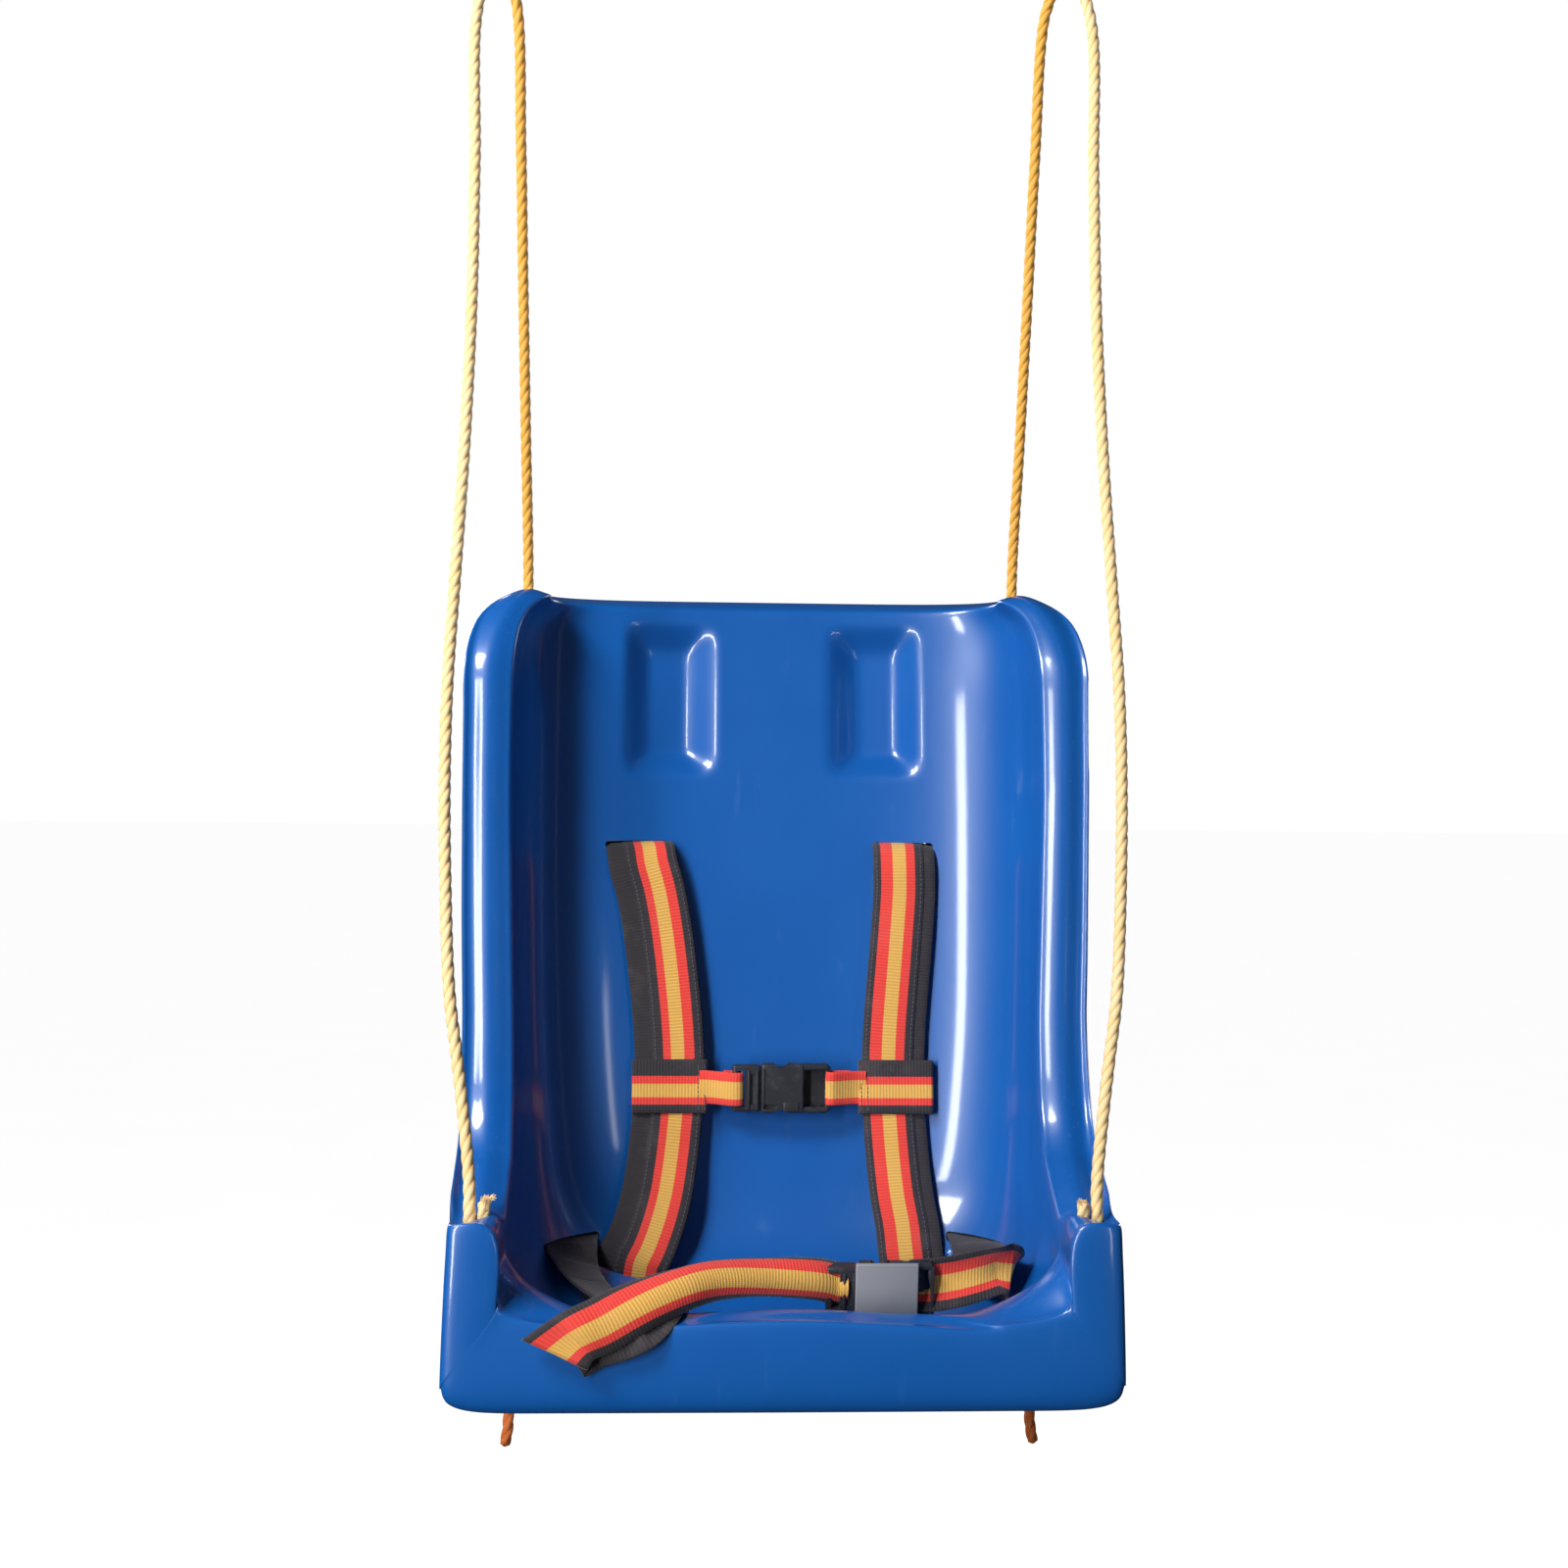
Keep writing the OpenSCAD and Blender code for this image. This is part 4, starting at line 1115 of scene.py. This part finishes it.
def make_hardware():
    for name, _ in BOTH:
        for node in ("upper_slide_", "lower_slide_", "lap_slide_"):
            softened(node + name, 0.7, BLACK_PLASTIC)
        for node in ("front_pin_", "rear_washer_"):
            softened(node + name, 0.5, ZINC)
        for node in ("ring_", "hook_", "hook_gate_", "gate_pin_"):
            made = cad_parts[node + name]
            made.data.materials.clear()
            made.data.materials.append(ZINC)
    for kind in ("chest", "lap"):
        for arm in ("upper", "lower"):
            softened(f"{kind}_arm_{arm}", 0.6, BLACK_PLASTIC, f"{kind}_arm_{arm}")


CHEST_AT = Matrix.Translation((-9, 230, 182))
LAP_AT = Matrix.Translation((52, 58, 67)) @ Matrix.Rotation(math.radians(8), 4, "X")


def buckle_socket(half, thick, mouth, cover):
    """The socket half of a buckle, with its mouth, its two press windows and the bars at its far end."""
    body = block((0, -thick / 2, -half), (33, thick / 2, half), 2.2, 4)
    bars = [block((30, -thick / 2 + 1.2, z - 2.4), (52, thick / 2 - 1.2, z + 2.4), 1.6)
            for z in (-half + 2.6, half - 2.6)]
    bars += [rod((44, -0.6, 0), 2.5, 2 * half - 4, "z", 0.6), block((49, -3.4, -half + 2), (53.5, 3.4, half - 2), 1.4),
             block((31, thick / 2 - 2.2, -half + 3), (51, thick / 2 - 0.6, half - 3), 0.5)]
    combine(body, bars, "UNION")
    cutters = [block((-2, -3, -mouth), (30, 3, mouth)), block((9, -3, -half - 2), (22, 3, half + 2)),
               rod((41.5, -thick / 4 - 1.1, 0), 9.5, 1.5 * thick - 2.2, "y", 0, 48)]
    cutters[2].data.transform(Matrix.Diagonal((1, 1, (half - 4.2) / 9.5, 1)))
    for z in (-half - 3.2, half + 3.2):
        cutters.append(rod((15.5, 0, z), 6.4, 2 * thick, "y", 0, 40))
    combine(body, cutters)
    if cover:
        return body
    notch = [block((1.5, -thick, -half + 3.6), (12, -thick / 2 + 2.4, -half + 7.2), 0.4)]
    combine(body, notch)
    bump = block((17, -thick / 2 - 1.1, -half + 1.5), (29, -thick / 2 + 1, -half + 9), 1.0, 3)
    ridge = block((1.2, -thick / 2 - 0.7, -half + 5), (2.6, -thick / 2 + 1, half - 3), 0.5)
    return combine(body, [bump, ridge], "UNION")


def buckle_plug(half, thick, shift=0.0):
    """The plug half: a frame that the webbing wraps, two raised ribs and the middle tongue."""
    body = block((-22, -thick / 2, -half + shift), (-0.4, thick / 2, half + shift), 2.0, 4)
    ribs = [block((x, -thick / 2 - 0.9, -half + 2 + shift), (x + 1.9, thick / 2 + 0.4, half - 4 + shift), 0.6)
            for x in (-10.4, -3.9)]
    combine(body, ribs + [block((-4, -2, -5), (23, 2, 5), 1.1)], "UNION")
    cutters = [block((-18.5, -2 * thick, -half + 4 + shift), (-12.6, 2 * thick, half - 4 + shift), 0.8),
               block((-7.9, -thick, -half + 6 + shift), (-4.6, -thick / 2 + 1.6, half - 7 + shift), 0.5)]
    for z in (-12, 12):
        cutters.append(block((-6.2, -2.5, z - 4.4), (2, 2.5, z + 4.4)))
    return combine(body, cutters)


def make_buckles():
    for kind, at, socket, plug in (("chest", CHEST_AT, (19, 12, 17, False), (18, 9)),
                                   ("lap", LAP_AT, (23, 10, 20, True), (16.5, 13, 4.5))):
        settle(move_to(buckle_socket(*socket), at), kind + "_socket", BLACK_PLASTIC, "seat",
               (kind + "_receiver",), 35)
        settle(move_to(buckle_plug(*plug), at), kind + "_plug", BLACK_PLASTIC, kind + "_insert",
               (kind + "_insert",), 35)
    # the grey cover plate of the lap buckle, with one lower corner well rounded
    plate = block((-2, -9.2, -24.5), (41.5, -5.2, 24.5))
    corner = [v.index for v in plate.data.vertices if v.co.x < 0 and v.co.z < 0]
    only(plate)
    bpy.ops.object.mode_set(mode="EDIT")
    bpy.ops.mesh.select_all(action="DESELECT")
    bpy.ops.object.mode_set(mode="OBJECT")
    for edge in plate.data.edges:
        edge.select = all(v in corner for v in edge.vertices)
    bpy.ops.object.mode_set(mode="EDIT")
    bpy.ops.mesh.select_mode(type="EDGE")
    bpy.ops.mesh.bevel(offset=11, segments=8, affect="EDGES")
    bpy.ops.object.mode_set(mode="OBJECT")
    modifier(plate, "BEVEL", width=1.1, segments=3, limit_method="ANGLE", angle_limit=math.radians(50))
    settle(move_to(plate, LAP_AT), "lap_cover_plate", GREY_PLASTIC, "seat", (), 35)


make_hardware()
make_buckles()


# ---------------------------------------------------------------- floor, light and the end

def make_floor():
    bpy.ops.object.select_all(action="DESELECT")
    bpy.ops.mesh.primitive_plane_add(size=60, location=(0, 0, -1.2415 - 0.85))
    floor = bpy.context.object
    floor.name = "floor"
    f = Finish("pale_floor", Roughness=0.95, Specular_IOR_Level=0.1, Emission_Strength=1.0)
    f.set(Base_Color=colour("8C8C8C"), Emission_Color=f.mix(f.noise(3), colour("FAFAFA"), colour("FCFCFC")))
    floor.data.materials.append(f.material)
    floor.visible_glossy = floor.visible_diffuse = False


def lamp(name, place, target, size, power):
    data = bpy.data.lights.new(name, "AREA")
    data.shape, data.size, data.size_y, data.energy = "RECTANGLE", *size, power
    obj = bpy.data.objects.new(name, data)
    obj.location = placed(place)
    obj.rotation_mode = "QUATERNION"
    obj.rotation_quaternion = Vector(placed(target) - placed(place)).to_track_quat("-Z", "Y")
    bpy.context.scene.collection.objects.link(obj)
    obj.visible_camera = False


def make_light():
    world = bpy.data.worlds.new("studio")
    bpy.context.scene.world = world
    world.use_nodes = True
    tree = world.node_tree
    tree.nodes.clear()
    out = tree.nodes.new("ShaderNodeOutputWorld")
    path = tree.nodes.new("ShaderNodeLightPath")
    shades = []
    for strength in (0.03, 1.0):
        shade = tree.nodes.new("ShaderNodeBackground")
        shade.inputs["Color"].default_value = (1, 1, 1, 1)
        shade.inputs["Strength"].default_value = strength
        shades.append(shade)
    mix = tree.nodes.new("ShaderNodeMixShader")
    tree.links.new(path.outputs["Is Camera Ray"], mix.inputs[0])
    tree.links.new(shades[0].outputs[0], mix.inputs[1])
    tree.links.new(shades[1].outputs[0], mix.inputs[2])
    tree.links.new(mix.outputs[0], out.inputs["Surface"])
    middle = (0, 200, 300)
    lamp("key", (-1450, -1800, 500), middle, (0.26, 1.9), 44)
    lamp("fill", (1250, -2150, 300), middle, (0.10, 1.3), 3.6)
    lamp("top", (-1450, -1050, 2100), middle, (0.8, 0.8), 64)
    lamp("behind_left", (-1500, 2300, 1300), middle, (1.4, 1.4), 44)
    lamp("behind_right", (1900, 1900, 900), middle, (1.0, 1.6), 28)
    view = bpy.context.scene.view_settings
    view.view_transform, view.look, view.exposure, view.gamma = "Standard", "None", 0, 1


make_floor()
make_light()
